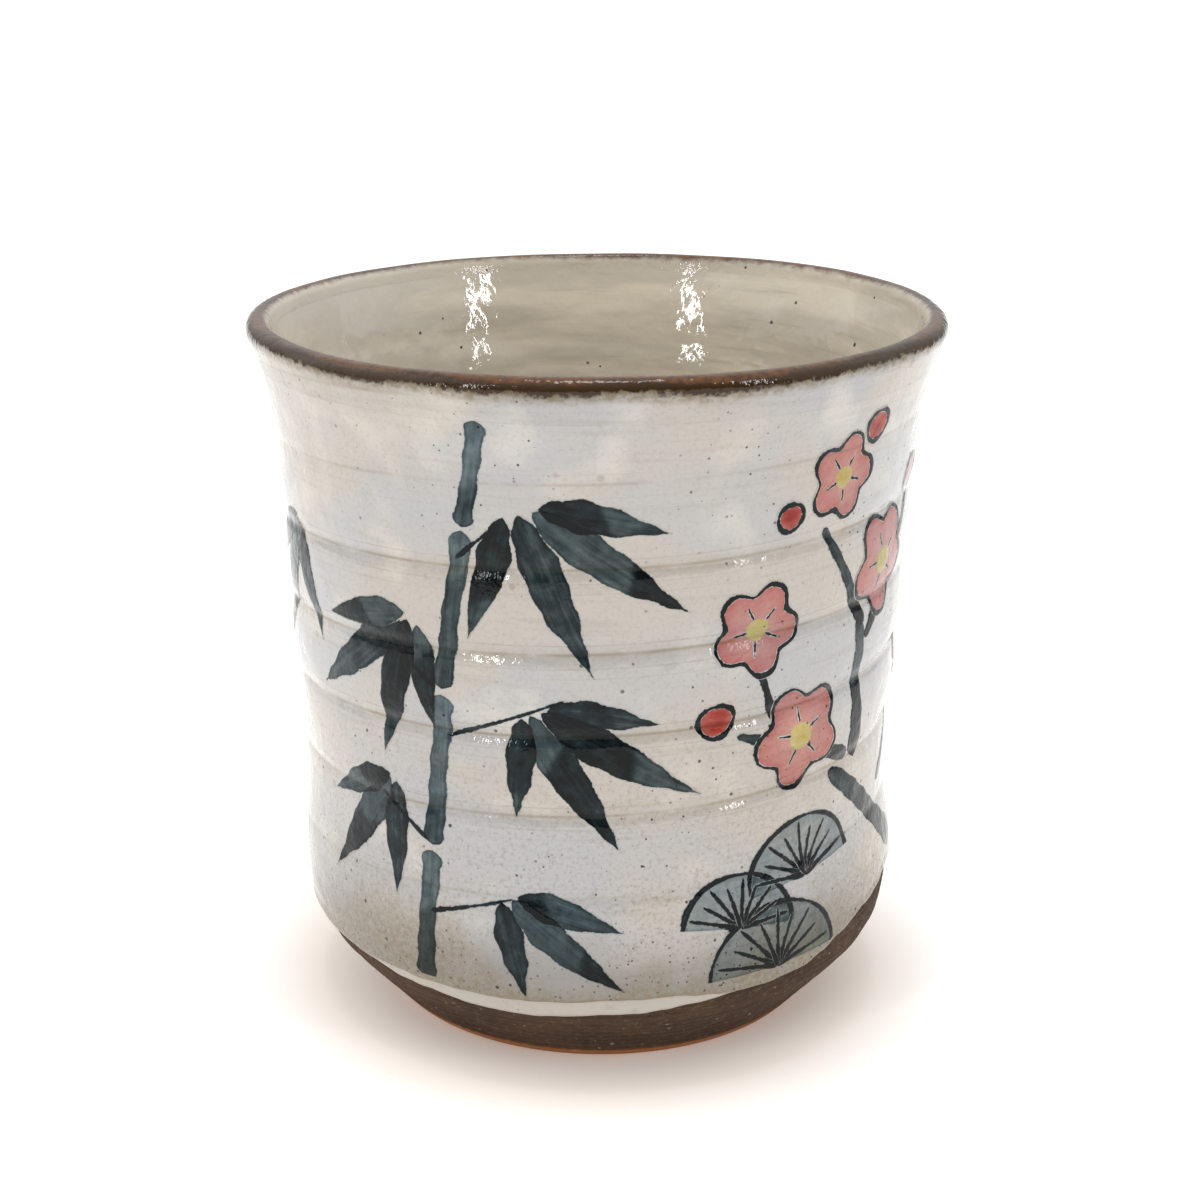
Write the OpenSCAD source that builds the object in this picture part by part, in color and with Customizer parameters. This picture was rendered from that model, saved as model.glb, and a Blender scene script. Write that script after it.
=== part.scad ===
/* [Cup] */
// Height from the table to the top of the lip
cup_h = 86; // [76:1:100]
// Outside diameter across the lip
rim_d = 84; // [80:1:92]
// Outside diameter of the wall where the flare of the lip begins
neck_d = 76.2; // [74:0.2:79]
// Outside diameter at the waist, the narrowest part of the wall
waist_d = 73.2; // [70:0.2:75]
// Outside diameter at the hip, where the wall turns in to the foot
hip_d = 74.8; // [72:0.2:78]
// Outside diameter of the foot where it stands on the table
foot_d = 54; // [48:1:58]
// Height of the hip above the table
hip_h = 19; // [17:0.5:22]
// Height of the waist above the table
waist_h = 30; // [27:0.5:34]
// Height at which the flare of the lip begins
neck_h = 56; // [52:0.5:62]

/* [Wall] */
// Thickness of the finished lip, which is rounded over
lip_t = 3; // [2.6:0.1:4]
// Thickness of the finished wall at the waist
wall_t = 4.6; // [3.8:0.1:6]
// Height of the bowl's floor above the table
floor_h = 10; // [9:0.5:13]
// Thickness of the finished wall at the hip, where the bowl begins to round in
hip_t = 6.4; // [5:0.1:8]

/* [Finger rings] */
// Rise from one finger ring to the next
ring_pitch = 9.8; // [8:0.1:12]
// Depth of the grooves between the finger rings
ring_depth = 0.4; // [0.2:0.05:0.6]
// Height of the groove at the middle of the wall
ring_h = 45; // [42:0.5:48]

/* [Foot] */
// Width of the ring that the cup stands on
foot_ring_w = 4; // [3:0.1:6]
// Depth of the turned recess under the cup
recess_h = 3; // [2:0.1:4]
// Rise of the recess towards its edge, from a centre that stands proud
recess_dish = 0.6; // [0.3:0.1:1]
// Small bevel on both edges of the foot ring
foot_bevel = 0.5; // [0.3:0.1:1]

/* [Coats] */
// Thickness of the white slip on the outside
slip_t = 0.25; // [0.2:0.05:0.4]
// Thickness of the glaze on the outside
glaze_t = 0.35; // [0.3:0.05:0.5]
// Height of the lower edge of the slip
slip_h = 10; // [9:0.25:12]
// Height of the lower edge of the glaze, above the cup's centre
dip_h = 12.4; // [12.2:0.1:14]
// Tilt of the glaze's lower edge, rising to the right
dip_tilt = 4; // [0:0.5:6]
// Distance to the right of the axis at which the slanted dip begins
slant_x = 16; // [12:0.5:20]
// Tilt of the slanted dip that bares the clay on the right
slant_tilt = 24; // [15:1:28]
// Height of the iron band on the outside of the lip
band_h = 2.2; // [1.8:0.1:4]
// Height of the iron band on the inside of the lip
band_in_h = 1.6; // [1.2:0.1:3]

/* [Brushwork] */
// Depth to which the pigments have sunk into the glaze
ink_t = 0.15; // [0.1:0.01:0.2]
// Length of the longest bamboo leaf
leaf_l = 20; // [16:0.5:22]
// Width of the widest bamboo leaf
leaf_w = 4.8; // [3:0.1:6]
// Length of one joint of the bamboo stalk
joint_l = 19; // [16:0.5:21]
// Width of the bamboo stalk
stalk_w = 3.4; // [2.5:0.1:4]
// Length of the longest stroke of the plum branch
branch_l = 24; // [20:0.5:26]
// Width of the thickest stroke of the plum branch
branch_w = 3.8; // [3:0.1:5]
// Diameter of the largest plum blossom
blossom_d = 13; // [11:0.5:14]
// Diameter of the largest yellow heart of a blossom
heart_d = 3.6; // [3:0.1:5]
// Diameter of the largest red bud
bud_d = 4.4; // [3:0.1:5]
// Width of the widest pad of pine needles
pad_w = 18; // [14:0.5:20]
// Height of the tallest pad of pine needles
pad_h = 8; // [7:0.5:9]

/* [Hidden] */
$fn = 96;

rim_r = rim_d / 2;
neck_r = neck_d / 2;
waist_r = waist_d / 2;
hip_r = hip_d / 2;
foot_r = foot_d / 2;
lip_r = lip_t / 2;
// Slip and glaze together, which is also the thickness of the liner glaze and of the iron band
coat_t = slip_t + glaze_t;
// Overrun of every cut past the faces that it opens
over = 1;

// Slopes of the outline, in degrees from the table
foot_slope = 50;
neck_slope = 88;
flare_slope = 70;
// How far the two ends of each stretch pull it straight, as shares of its length
hip_shares = [0.6, 0.5];
wall_shares = [0.4, 0.4];
flare_shares = [0.55, 0.28];
// How far the bowl's wall and floor run straight into its rounded corner, as shares of its height and width
corner_shares = [0.62, 0.5];

// Steps along each stretch of the cross-section
hip_steps = 10;
waist_steps = 7;
wall_steps = 16;
flare_steps = 17;
lip_steps = 10;
corner_steps = 9;

// A smooth stretch from one point to the next, leaving and arriving at the given slopes
function curve(a, a_slope, b, b_slope, pulls, t) =
    let (reach = norm(b - a),
         c = a + reach * pulls[0] * [cos(a_slope), sin(a_slope)],
         d = b - reach * pulls[1] * [cos(b_slope), sin(b_slope)])
    a * pow(1 - t, 3) + c * 3 * t * pow(1 - t, 2) + d * 3 * t * t * (1 - t) + b * pow(t, 3);
function stretch(a, a_slope, b, b_slope, steps, pulls) =
    [for (i = [0 : steps - 1]) curve(a, a_slope, b, b_slope, pulls, i / steps)];

// Finger rings fade in above the hip and out again below the lip
function ring_fade(z) = max(0, min(1, (z - hip_h) / ring_pitch, (cup_h - z) / ring_pitch - 1 / 2));
function groove(z) = ring_depth * ring_fade(z) * (1 - pow(abs(sin(180 * (z - ring_h) / ring_pitch)), 2 / 3));
function ringed(points) = [for (p = points) [p[0] - groove(p[1]), p[1]]];

// Outside of the wall, from the hip to where the lip is rounded over
foot_start = [foot_r + foot_bevel, foot_bevel] + coat_t * [sin(foot_slope), -cos(foot_slope)];
hip_point = [hip_r, hip_h];
waist_point = [waist_r, waist_h];
neck_point = [neck_r, neck_h];
lip_centre = [rim_r - lip_r, cup_h - lip_r];
lip_out = lip_centre + lip_r * [sin(flare_slope), -cos(flare_slope)];
wall = concat(
    stretch(hip_point, 90, waist_point, 90, waist_steps, wall_shares),
    stretch(waist_point, 90, neck_point, neck_slope, wall_steps, wall_shares),
    stretch(neck_point, neck_slope, lip_out, flare_slope, flare_steps, flare_shares),
    [lip_out]);
function backward(points) = [for (i = [len(points) - 1 : -1 : 0]) points[i]];

// Unit vector into the wall at one of an outline's points, with the outline's own slopes at both ends
function inward(line, i, first_slope, last_slope) =
    let (along = i == 0 ? [cos(first_slope), sin(first_slope)] :
                 i == len(line) - 1 ? [cos(last_slope), sin(last_slope)] : line[i + 1] - line[i - 1])
    [-along[1], along[0]] / norm(along);

// The bowl keeps the outside's shape, under a wall that thickens from lip to waist and from waist to hip
function thickness(z) =
    z > waist_h ? wall_t + (lip_t / sin(flare_slope) - wall_t) * pow((z - waist_h) / (lip_out[1] - waist_h), 2) :
    wall_t + (hip_t - wall_t) * (waist_h - z) / (waist_h - hip_h);
bowl = [for (p = wall) [p[0] - thickness(p[1]), p[1]]];

// The bowl's rounded corner, from its wall at the hip down to the middle of its floor
floor_point = [0, floor_h];
function corner(t) =
    let (a = bowl[0], b = floor_point)
    a * pow(1 - t, 3) + [a[0], a[1] + corner_shares[0] * (b[1] - a[1])] * 3 * t * pow(1 - t, 2)
    + [a[0] * (1 - corner_shares[1]), b[1]] * 3 * t * t * (1 - t) + b * pow(t, 3);

// Finished cross-section: up the foot and wall, over the lip, and down inside to the bowl's centre
skin = concat(
    stretch(foot_start, foot_slope, hip_point, 90, hip_steps, hip_shares),
    ringed([for (i = [0 : len(wall) - 2]) wall[i]]),
    [for (i = [0 : lip_steps]) let (a = flare_slope - 90 + 180 * i / lip_steps)
        lip_centre + lip_r * [cos(a), sin(a)]],
    backward([for (i = [1 : len(bowl) - 1]) bowl[i]]),
    [for (i = [0 : corner_steps]) corner(i / corner_steps)]);
last = len(skin) - 1;
lip_top = hip_steps + len(wall) - 1 + lip_steps / 2;
// First point of the coats, below every dip line
coat_start = 2;

// The finished outline sunk by a depth, square to itself
function sunk(depth, from, to) =
    [for (i = [from : to]) skin[i] + depth * inward(skin, i, foot_slope, 180)];

// One coat on the wall, between two depths under the finished surface
module coat(top, bottom, from, to) {
    rotate_extrude() polygon(concat(sunk(top, from, to), backward(sunk(bottom, from, to))));
}

// Space round the lip that the iron band takes, deeper outside than inside
module band_space() {
    rotate_extrude() polygon([
        [0, cup_h - band_in_h], [lip_centre[0] - lip_r, cup_h - band_in_h],
        [lip_centre[0] - lip_r, cup_h - band_h], [rim_r + over, cup_h - band_h],
        [rim_r + over, cup_h + over], [0, cup_h + over]]);
}

// Space below a dip line: it passes through the axis offset and height, and rises to the right
module below_line(x, z, tilt) {
    translate([x, 0, z]) rotate([0, -tilt, 0])
        translate([0, 0, -cup_h]) cube([4 * rim_r, 4 * rim_r, 2 * cup_h], center = true);
}

// Cuts that leave the iron band, the pale line and the bare clay uncovered
module dipped() {
    difference() {
        children();
        band_space();
        below_line(0, dip_h, dip_tilt);
        below_line(slant_x, slip_h, slant_tilt);
    }
}

// A brush mark pushed out through the wall at its place: degrees round from the front, and a height
module mark(turn, z, lean) {
    rotate([0, 0, turn]) translate([0, -waist_r / 2, z]) rotate([90, 0, 0])
        linear_extrude(rim_r) rotate(lean) children();
}

// Half-widths of a stroke along its length, both as shares, for a leaf, a branch stroke and a stalk joint
leaf_shares = [[0, 0.12], [0.1, 0.32], [0.3, 0.5], [0.6, 0.4], [0.85, 0.16], [1, 0.01]];
stroke_shares = [[0, 0.42], [0.15, 0.5], [0.5, 0.36], [0.85, 0.34], [1, 0.24]];
joint_shares = [[0, 0.56], [0.12, 0.4], [0.5, 0.36], [0.88, 0.4], [1, 0.56]];
module brush_outline(shares, length, width, curl = 0) {
    polygon(concat(
        [for (s = shares) [length * s[0], curl * length * s[0] * s[0] - width * s[1]]],
        backward([for (s = shares) [length * s[0], curl * length * s[0] * s[0] + width * s[1]]])));
}

// Bamboo leaves: degrees round, height share, lean, size share and curl share
leaf_place_shares = [
    [-9, 0.83, -8, 0.7, -0.06], [-10, 0.825, -38, 1, 0.05],
    [-12.5, 0.82, -70, 1, 0.06], [-15, 0.815, -104, 0.75, -0.06],
    [-34, 0.67, -172, 0.66, 0.08], [-35, 0.665, -138, 0.95, -0.05],
    [-33.5, 0.66, -108, 0.9, 0.05], [-31.5, 0.655, -84, 0.62, 0],
    [-8, 0.56, -4, 0.62, -0.08], [-9, 0.555, -34, 1, 0.05],
    [-11, 0.55, -62, 0.95, 0.05], [-12.5, 0.545, -92, 0.62, -0.05],
    [-40, 0.43, -158, 0.62, 0.06], [-40, 0.425, -124, 0.9, -0.05], [-38.5, 0.42, -94, 0.7, 0.05],
    [-14, 0.29, -14, 0.62, -0.06], [-15, 0.285, -46, 0.95, 0.05], [-17, 0.28, -78, 0.6, 0],
    [-66, 0.75, -150, 0.7, 0.06], [-66, 0.745, -112, 0.9, -0.05], [-65, 0.74, -72, 0.7, 0.05]];
module leaves() {
    for (p = leaf_place_shares)
        mark(p[0], p[1] * cup_h, p[2]) brush_outline(leaf_shares, leaf_l * p[3], leaf_w * sqrt(p[3]), p[4]);
}

// Bamboo joints and, after them, twigs: degrees round, height share, lean, length share and width share
joint_place_shares = [[-33, 0.145, 85, 0.86, 1], [-30.5, 0.345, 83, 1, 1], [-27, 0.575, 80, 1, 0.95],
                      [-22, 0.8, 77, 0.66, 0.85]];
twig_place_shares = [[-23.5, 0.755, 40, 0.38, 0.22], [-28.5, 0.575, 142, 0.4, 0.22], [-27, 0.505, 22, 0.8, 0.22],
                     [-31.5, 0.35, 146, 0.5, 0.22], [-31, 0.25, 16, 0.56, 0.22]];
module stalk() {
    for (p = joint_place_shares)
        mark(p[0], p[1] * cup_h, p[2]) brush_outline(joint_shares, joint_l * p[3], stalk_w * p[4]);
    for (p = twig_place_shares)
        mark(p[0], p[1] * cup_h, p[2]) brush_outline(stroke_shares, joint_l * p[3], stalk_w * p[4]);
}

// Strokes of the plum branch: degrees round, height share, lean, length share and width share
branch_place_shares = [
    [78, 0.235, 138, 1, 1], [57, 0.42, 98, 0.78, 0.82], [54, 0.62, 122, 0.66, 0.55], [55, 0.6, 50, 0.8, 0.5],
    [54, 0.43, 158, 0.8, 0.55], [34, 0.5, 112, 0.6, 0.36], [44, 0.84, 86, 0.2, 0.3],
    [70, 0.35, 44, 0.85, 0.55], [88, 0.52, 70, 0.5, 0.36]];
module branches() {
    for (p = branch_place_shares)
        mark(p[0], p[1] * cup_h, p[2]) brush_outline(stroke_shares, branch_l * p[3], branch_w * p[4]);
}

// Plum blossoms: degrees round, height share, turn and size share
blossom_place_shares = [
    [39, 0.49, 10, 1], [28, 0.655, 30, 0.85], [60, 0.7, 20, 1], [44, 0.84, 40, 0.78], [88, 0.53, 0, 0.95]];
petals = 5;
// How deep the petals' edges dip between them, as a share of the blossom, and points along a petal
notch_share = 0.26;
petal_steps = 6;
module blossom_outline(size) {
    polygon([for (i = [0 : petals * petal_steps - 1])
        let (a = 360 * i / petals / petal_steps,
             reach = size * blossom_d / 2 * (1 - notch_share * pow(abs(cos(petals * a / 2)), 3)))
        reach * [cos(a), sin(a)]]);
}
module blossoms() {
    for (p = blossom_place_shares) mark(p[0], p[1] * cup_h, p[2]) blossom_outline(p[3]);
}
module hearts() {
    for (p = blossom_place_shares) mark(p[0], p[1] * cup_h, p[2]) circle(heart_d * p[3] / 2, $fn = 10);
}

// Red buds: degrees round, height share and size share
bud_place_shares = [[21, 0.535, 0.95], [51, 0.9, 0.85], [72, 0.8, 1], [33, 0.8, 0.75], [92, 0.7, 0.9]];
module buds() {
    for (p = bud_place_shares) mark(p[0], p[1] * cup_h, 0) circle(bud_d * p[2] / 2, $fn = 10);
}

// Pads of pine needles: degrees round, height share, lean and size share
pad_place_shares = [[26, 0.235, -6, 0.8], [41, 0.285, 8, 0.9], [34, 0.165, 2, 1]];
pad_steps = 8;
module pads() {
    for (p = pad_place_shares)
        mark(p[0], p[1] * cup_h, p[2])
            polygon([for (i = [0 : pad_steps]) let (a = 180 * i / pad_steps)
                p[3] * [pad_w / 2 * cos(a), pad_h * sin(a)]]);
}

// The top of the glaze, which the pigments have sunk into
module ink_coat() {
    dipped() coat(0, ink_t, coat_start, lip_top);
}

// Brown stoneware: thrown wall, turned hip and foot ring with a recess
module clay_body() {
    recess_r = foot_r - foot_ring_w;
    color("#4f423a")
        rotate_extrude() polygon(concat(
            [[0, recess_h - recess_dish], [recess_r - recess_h, recess_h], [recess_r - foot_bevel, foot_bevel],
             [recess_r, 0], [foot_r, 0]],
            sunk(coat_t, 0, last)));
}

// White slip under the glaze, which shows as a pale line above the bare clay
module white_slip() {
    color("#dedcd4")
        difference() {
            coat(glaze_t, coat_t, coat_start, lip_top);
            band_space();
            below_line(0, slip_h, 0);
            below_line(slant_x, slip_h, slant_tilt);
        }
}

// Milky glaze over the slip, hollowed where the pigments have sunk in
module outer_glaze() {
    color("#cdcbc2")
        difference() {
            dipped() coat(0, glaze_t, coat_start, lip_top);
            intersection() {
                coat(-over, ink_t, coat_start, lip_top);
                union() {
                    leaves();
                    stalk();
                    branches();
                    blossoms();
                    buds();
                    pads();
                }
            }
        }
}

// Liner glaze over the whole bowl
module inner_glaze() {
    color("#b3ad9c") difference() { coat(0, coat_t, lip_top, last); band_space(); }
}

// Iron-brown band that wraps the lip
module rim_iron_band() {
    color("#4a382d") intersection() { coat(0, coat_t, coat_start, last); band_space(); }
}

module bamboo_leaves() {
    color("#22363d") intersection() { ink_coat(); leaves(); }
}

module bamboo_stalk() {
    color("#425a62") difference() { intersection() { ink_coat(); stalk(); } leaves(); }
}

module plum_branch() {
    color("#2b3d42") difference() { intersection() { ink_coat(); branches(); } blossoms(); buds(); }
}

module plum_petals() {
    color("#dd8c86") difference() { intersection() { ink_coat(); blossoms(); } hearts(); }
}

module plum_hearts() {
    color("#ddd293") intersection() { ink_coat(); hearts(); }
}

module plum_buds() {
    color("#c64f45") difference() { intersection() { ink_coat(); buds(); } blossoms(); }
}

module pine_wash() {
    color("#8c9ca3")
        difference() { intersection() { ink_coat(); pads(); } branches(); blossoms(); buds(); }
}

clay_body();
white_slip();
outer_glaze();
inner_glaze();
rim_iron_band();
bamboo_stalk();
bamboo_leaves();
plum_branch();
plum_petals();
plum_hearts();
plum_buds();
pine_wash();
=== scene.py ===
"""A thrown yunomi tea cup: stoneware, slip, milky glaze, iron lip, and brushwork of bamboo, plum and pine."""
import math
from functools import partial

import bpy
import numpy as np
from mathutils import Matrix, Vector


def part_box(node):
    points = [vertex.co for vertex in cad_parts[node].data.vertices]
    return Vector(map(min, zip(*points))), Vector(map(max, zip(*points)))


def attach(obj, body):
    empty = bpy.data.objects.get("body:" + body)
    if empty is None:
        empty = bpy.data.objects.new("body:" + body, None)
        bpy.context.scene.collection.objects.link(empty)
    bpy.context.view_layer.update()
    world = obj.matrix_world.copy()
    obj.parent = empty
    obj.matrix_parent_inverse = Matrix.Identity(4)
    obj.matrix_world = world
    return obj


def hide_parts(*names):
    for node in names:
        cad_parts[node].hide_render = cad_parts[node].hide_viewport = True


bl_info = {
    "name": "Yunomi Tea Cup",
    "version": (1, 0, 0),
    "blender": (4, 5, 0),
    "location": "View3D > Sidebar > Tea Cup",
    "description": "Throws, glazes and paints a small stoneware tea cup",
    "category": "Add Mesh",
}

MM = 0.001

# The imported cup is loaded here, so that the sizes below start from it
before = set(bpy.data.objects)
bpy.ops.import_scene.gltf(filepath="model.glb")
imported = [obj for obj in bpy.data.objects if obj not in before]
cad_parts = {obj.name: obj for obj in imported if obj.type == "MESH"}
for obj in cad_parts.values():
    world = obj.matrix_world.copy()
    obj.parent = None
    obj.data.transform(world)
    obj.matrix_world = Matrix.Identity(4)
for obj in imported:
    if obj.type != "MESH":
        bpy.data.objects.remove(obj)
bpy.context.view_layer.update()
BAND_LOW, BAND_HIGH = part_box("rim_iron_band")
CUP_HEIGHT = BAND_HIGH.z
RIM_DIAMETER = BAND_HIGH.x - BAND_LOW.x


def setting(label, description, default, **kind):
    """A number that a user may change."""
    return bpy.props.FloatProperty(name=label, description=description, default=default, **kind)


def length(label, description, default):
    """A length that a user may change, in metres."""
    return setting(label, description, default, min=0, precision=5, subtype="DISTANCE", unit="LENGTH")


def finish_colour(label, description, sheet_colour):
    """A colour that a user may change, given as an sRGB hex value."""
    return bpy.props.FloatVectorProperty(name=label, description=description, default=linear(sheet_colour),
                                         size=3, min=0, max=1, subtype="COLOR")


def linear(sheet_colour):
    """Turns an sRGB hex value such as "#cfcdc6" into the linear colour that Blender's sockets take."""
    shares = [int(sheet_colour[i:i + 2], 16) / 255 for i in (1, 3, 5)]
    return tuple(c / 12.92 if c <= 0.04045 else ((c + 0.055) / 1.055) ** 2.4 for c in shares)


class YunomiShape(bpy.types.PropertyGroup):
    height: length("Height", "Table to the top of the lip", CUP_HEIGHT)
    rim: length("Rim diameter", "Outside diameter across the lip", RIM_DIAMETER)
    neck: length("Neck diameter", "Outside diameter where the flare of the lip begins", 76.2 * MM)
    waist: length("Waist diameter", "Outside diameter at the narrowest part of the wall", 73.2 * MM)
    hip: length("Hip diameter", "Outside diameter where the wall turns in to the foot", 74.8 * MM)
    foot: length("Foot diameter", "Outside diameter of the ring that the cup stands on", 54 * MM)
    neck_height: length("Neck height", "Height at which the flare begins", 56 * MM)
    waist_height: length("Waist height", "Height of the waist above the table", 30 * MM)
    hip_height: length("Hip height", "Height of the hip above the table", 19 * MM)
    floor_height: length("Floor height", "Height of the bowl's floor above the table", 10 * MM)
    lip_thickness: length("Lip thickness", "Thickness of the rounded lip", 3 * MM)
    waist_thickness: length("Waist thickness", "Thickness of the wall at the waist", 4.6 * MM)
    hip_thickness: length("Hip thickness", "Thickness of the wall at the hip", 6.4 * MM)
    foot_ring: length("Foot ring width", "Width of the ring that the cup stands on", 4 * MM)
    recess: length("Recess depth", "Depth of the turned recess under the cup", 3 * MM)
    recess_dish: length("Recess dish", "Rise of the recess from its centre to its edge", 0.6 * MM)
    foot_bevel: length("Foot bevel", "Bevel on both edges of the foot ring", 0.5 * MM)
    slip: length("Slip thickness", "Thickness of the white slip", 0.25 * MM)
    glaze: length("Glaze thickness", "Thickness of the milky glaze", 0.35 * MM)
    ring_pitch: length("Ring pitch", "Rise of the finger spiral in one turn", 9.8 * MM)
    ring_depth: length("Ring depth", "Depth of the finger spiral's groove", 0.5 * MM)
    ring_height: length("Ring height", "Height of the groove at the front, at mid wall", 44.95 * MM)


class YunomiFinish(bpy.types.PropertyGroup):
    glaze_cool: finish_colour("Cool glaze", "Thick, cooler areas of the milky glaze", "#a5a4a4")
    glaze_warm: finish_colour("Warm glaze", "Thin, creamy areas of the milky glaze", "#aca59d")
    glaze_white: finish_colour("White glaze", "Clouds of pooled white in the milky glaze", "#c5beb4")
    glaze_tan: finish_colour("Tan haze", "Haze of iron in grooves and near the foot", "#756850")
    groove: finish_colour("Groove lines", "Thin lines of iron along the finger spiral", "#75684f")
    # Painted shade: a greyer glaze colour laid where the wall turns in and down to the foot
    painted_shade_glaze: finish_colour("Thin glaze", "Greyer glaze where the wall turns in to the foot", "#807d79")
    speck: finish_colour("Iron speck", "Specks of iron that came up through the glaze", "#1d1915")
    slip: finish_colour("Slip", "White slip under a thin clear glaze", "#aea69c")
    liner: finish_colour("Liner", "Liner glaze in the bowl", "#bab09d")
    liner_grey: finish_colour("Liner shade", "Greyer rings of the liner glaze", "#a89f8f")
    iron_crest: finish_colour("Iron crest", "Reddish iron glaze where the lip wears it thin", "#583515")
    iron_thin: finish_colour("Thin iron", "Olive-grey iron glaze along the band's ragged edge", "#6d6046")
    iron_pool: finish_colour("Iron pool", "Dark brown iron glaze where it is thick", "#2e1c04")
    clay: finish_colour("Clay", "Bare fired stoneware", "#463122")
    clay_rust: finish_colour("Rust", "Orange flashing at the foot", "#a0683a")
    grit: finish_colour("Grit", "Pale grains of sand in the clay", "#8a7862")


class YunomiStage(bpy.types.PropertyGroup):
    camera_back: length("Camera distance", "Distance of the camera from the cup's axis", 264.2 * MM)
    camera_height: length("Camera height", "Height of the camera above the table", 134.7 * MM)
    camera_pitch: setting("Camera pitch", "Tilt of the camera below level", math.radians(18), subtype="ANGLE")
    camera_roll: setting("Camera roll", "Turn of the camera about its view", -0.0055, subtype="ANGLE")
    lens: setting("Lens", "Focal length for a 36 mm sensor", 66.45, subtype="DISTANCE_CAMERA", unit="CAMERA")
    top_power: setting("Top light power", "Power of the softbox overhead", 5.0, subtype="POWER", unit="POWER")
    strip_power: setting("Strip power", "Power of each strip softbox", 2.1, subtype="POWER", unit="POWER")
    tent: setting("Tent light", "Brightness of the white tent", 0.95)
    table_glow: setting("Table glow", "Brightness of the lit table", 0.05)


# Slopes of the outline, in degrees from the table
FOOT_SLOPE, NECK_SLOPE, FLARE_SLOPE = 50, 88, 70
# How far the two ends of each stretch pull it straight, as shares of its length, or of the bowl's corner
FOOT_PULLS, WALL_PULLS, FLARE_PULLS, CORNER_PULLS = (0.6, 0.5), (0.4, 0.4), (0.55, 0.28), (0.62, 0.5)
# Points in each stretch of the outline
OUTLINE_STEPS = 240
# Depths under the outside surface, in millimetres, where points begin to move with it and where all do
INNER_DEPTH, OUTER_DEPTH = 2.6, 2.0
# How rounded the bottom of the finger spiral's groove is, and how deep it is in the bowl, in millimetres
GROOVE_SOFTNESS, BOWL_RING_DEPTH = 0.12, 0.22
# The fingers pressed hardest between the middle two of these heights, in millimetres, and least outside them
BELT, BELT_LEAST, BELT_MOST = (24, 42, 60, 76), 0.35, 1.25
# What the hands leave, in millimetres: the wall out of round and dented, the lip tilted, wavering and
# rippled, the dip lines wavering and rippled, and the foot off the axis
OUT_OF_ROUND, DENTS, LIP_TILT, LIP_WAVER, LIP_RIPPLE = 0.16, 0.07, 0.38, 0.10, 0.03
DIP_WAVER, DIP_RIPPLE, FOOT_SHIFT = 0.22, 0.09, 0.6
# How far below the top of the lip the band's piece reaches outside and inside, past its ragged colour
BAND_REACH, BAND_REACH_IN = 5.0, 1.6


def rise(value, low=0, high=1):
    """Eases from 0 to 1 as a value goes from low to high."""
    t = np.clip((value - low) / (high - low), 0, 1)
    return t * t * (3 - 2 * t)


def ripple(turn, *waves):
    """A wobble round the cup, between about -1 and 1: waves are (how many to a turn, phase)."""
    return sum(np.sin(count * turn + phase) for count, phase in waves) / len(waves)


def line_round(turn, heights):
    """A height all round the cup from (degrees, height) marks, smoothly joined, with a fine natural waver."""
    marks = np.array(sorted(heights))
    around = np.concatenate([[marks[-1] - [360, 0]], marks, [marks[0] + [360, 0]]])
    degrees = np.degrees(turn)
    at = np.clip(np.searchsorted(around[:, 0], degrees, side="right") - 1, 0, len(around) - 2)
    t = rise(degrees, around[at, 0], around[at + 1, 0])
    waver = DIP_WAVER * ripple(turn, (9, 0.2), (14, 1.3))
    waver += DIP_RIPPLE * ripple(turn, (31, 0.5), (47, 2.0), (73, 0.9))
    return around[at, 1] * (1 - t) + around[at + 1, 1] * t + waver


def heading(degrees):
    """Unit vector in the cross-section at a slope from the table."""
    return np.array([math.cos(math.radians(degrees)), math.sin(math.radians(degrees))])


def pulled(a, c, d, b, t):
    """Points of the curve from a to b that c and d pull on."""
    return a * (1 - t) ** 3 + c * 3 * t * (1 - t) ** 2 + d * 3 * t * t * (1 - t) + b * t ** 3


def stretch(a, a_slope, b, b_slope, pulls):
    """A smooth stretch of outline from one point to the next, leaving and arriving at the given slopes."""
    reach = np.linalg.norm(b - a)
    c, d = a + reach * pulls[0] * heading(a_slope), b - reach * pulls[1] * heading(b_slope)
    return pulled(a, c, d, b, np.linspace(0, 1, OUTLINE_STEPS, endpoint=False)[:, None])


def distances(path):
    """How far along a path each of its points is."""
    return np.concatenate([[0], np.cumsum(np.linalg.norm(np.diff(path, axis=0), axis=1))])


def points_along(path, steps):
    """The points of a path at the given distances along it."""
    return np.stack([np.interp(steps, distances(path), path[:, i]) for i in (0, 1)], 1)


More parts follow.
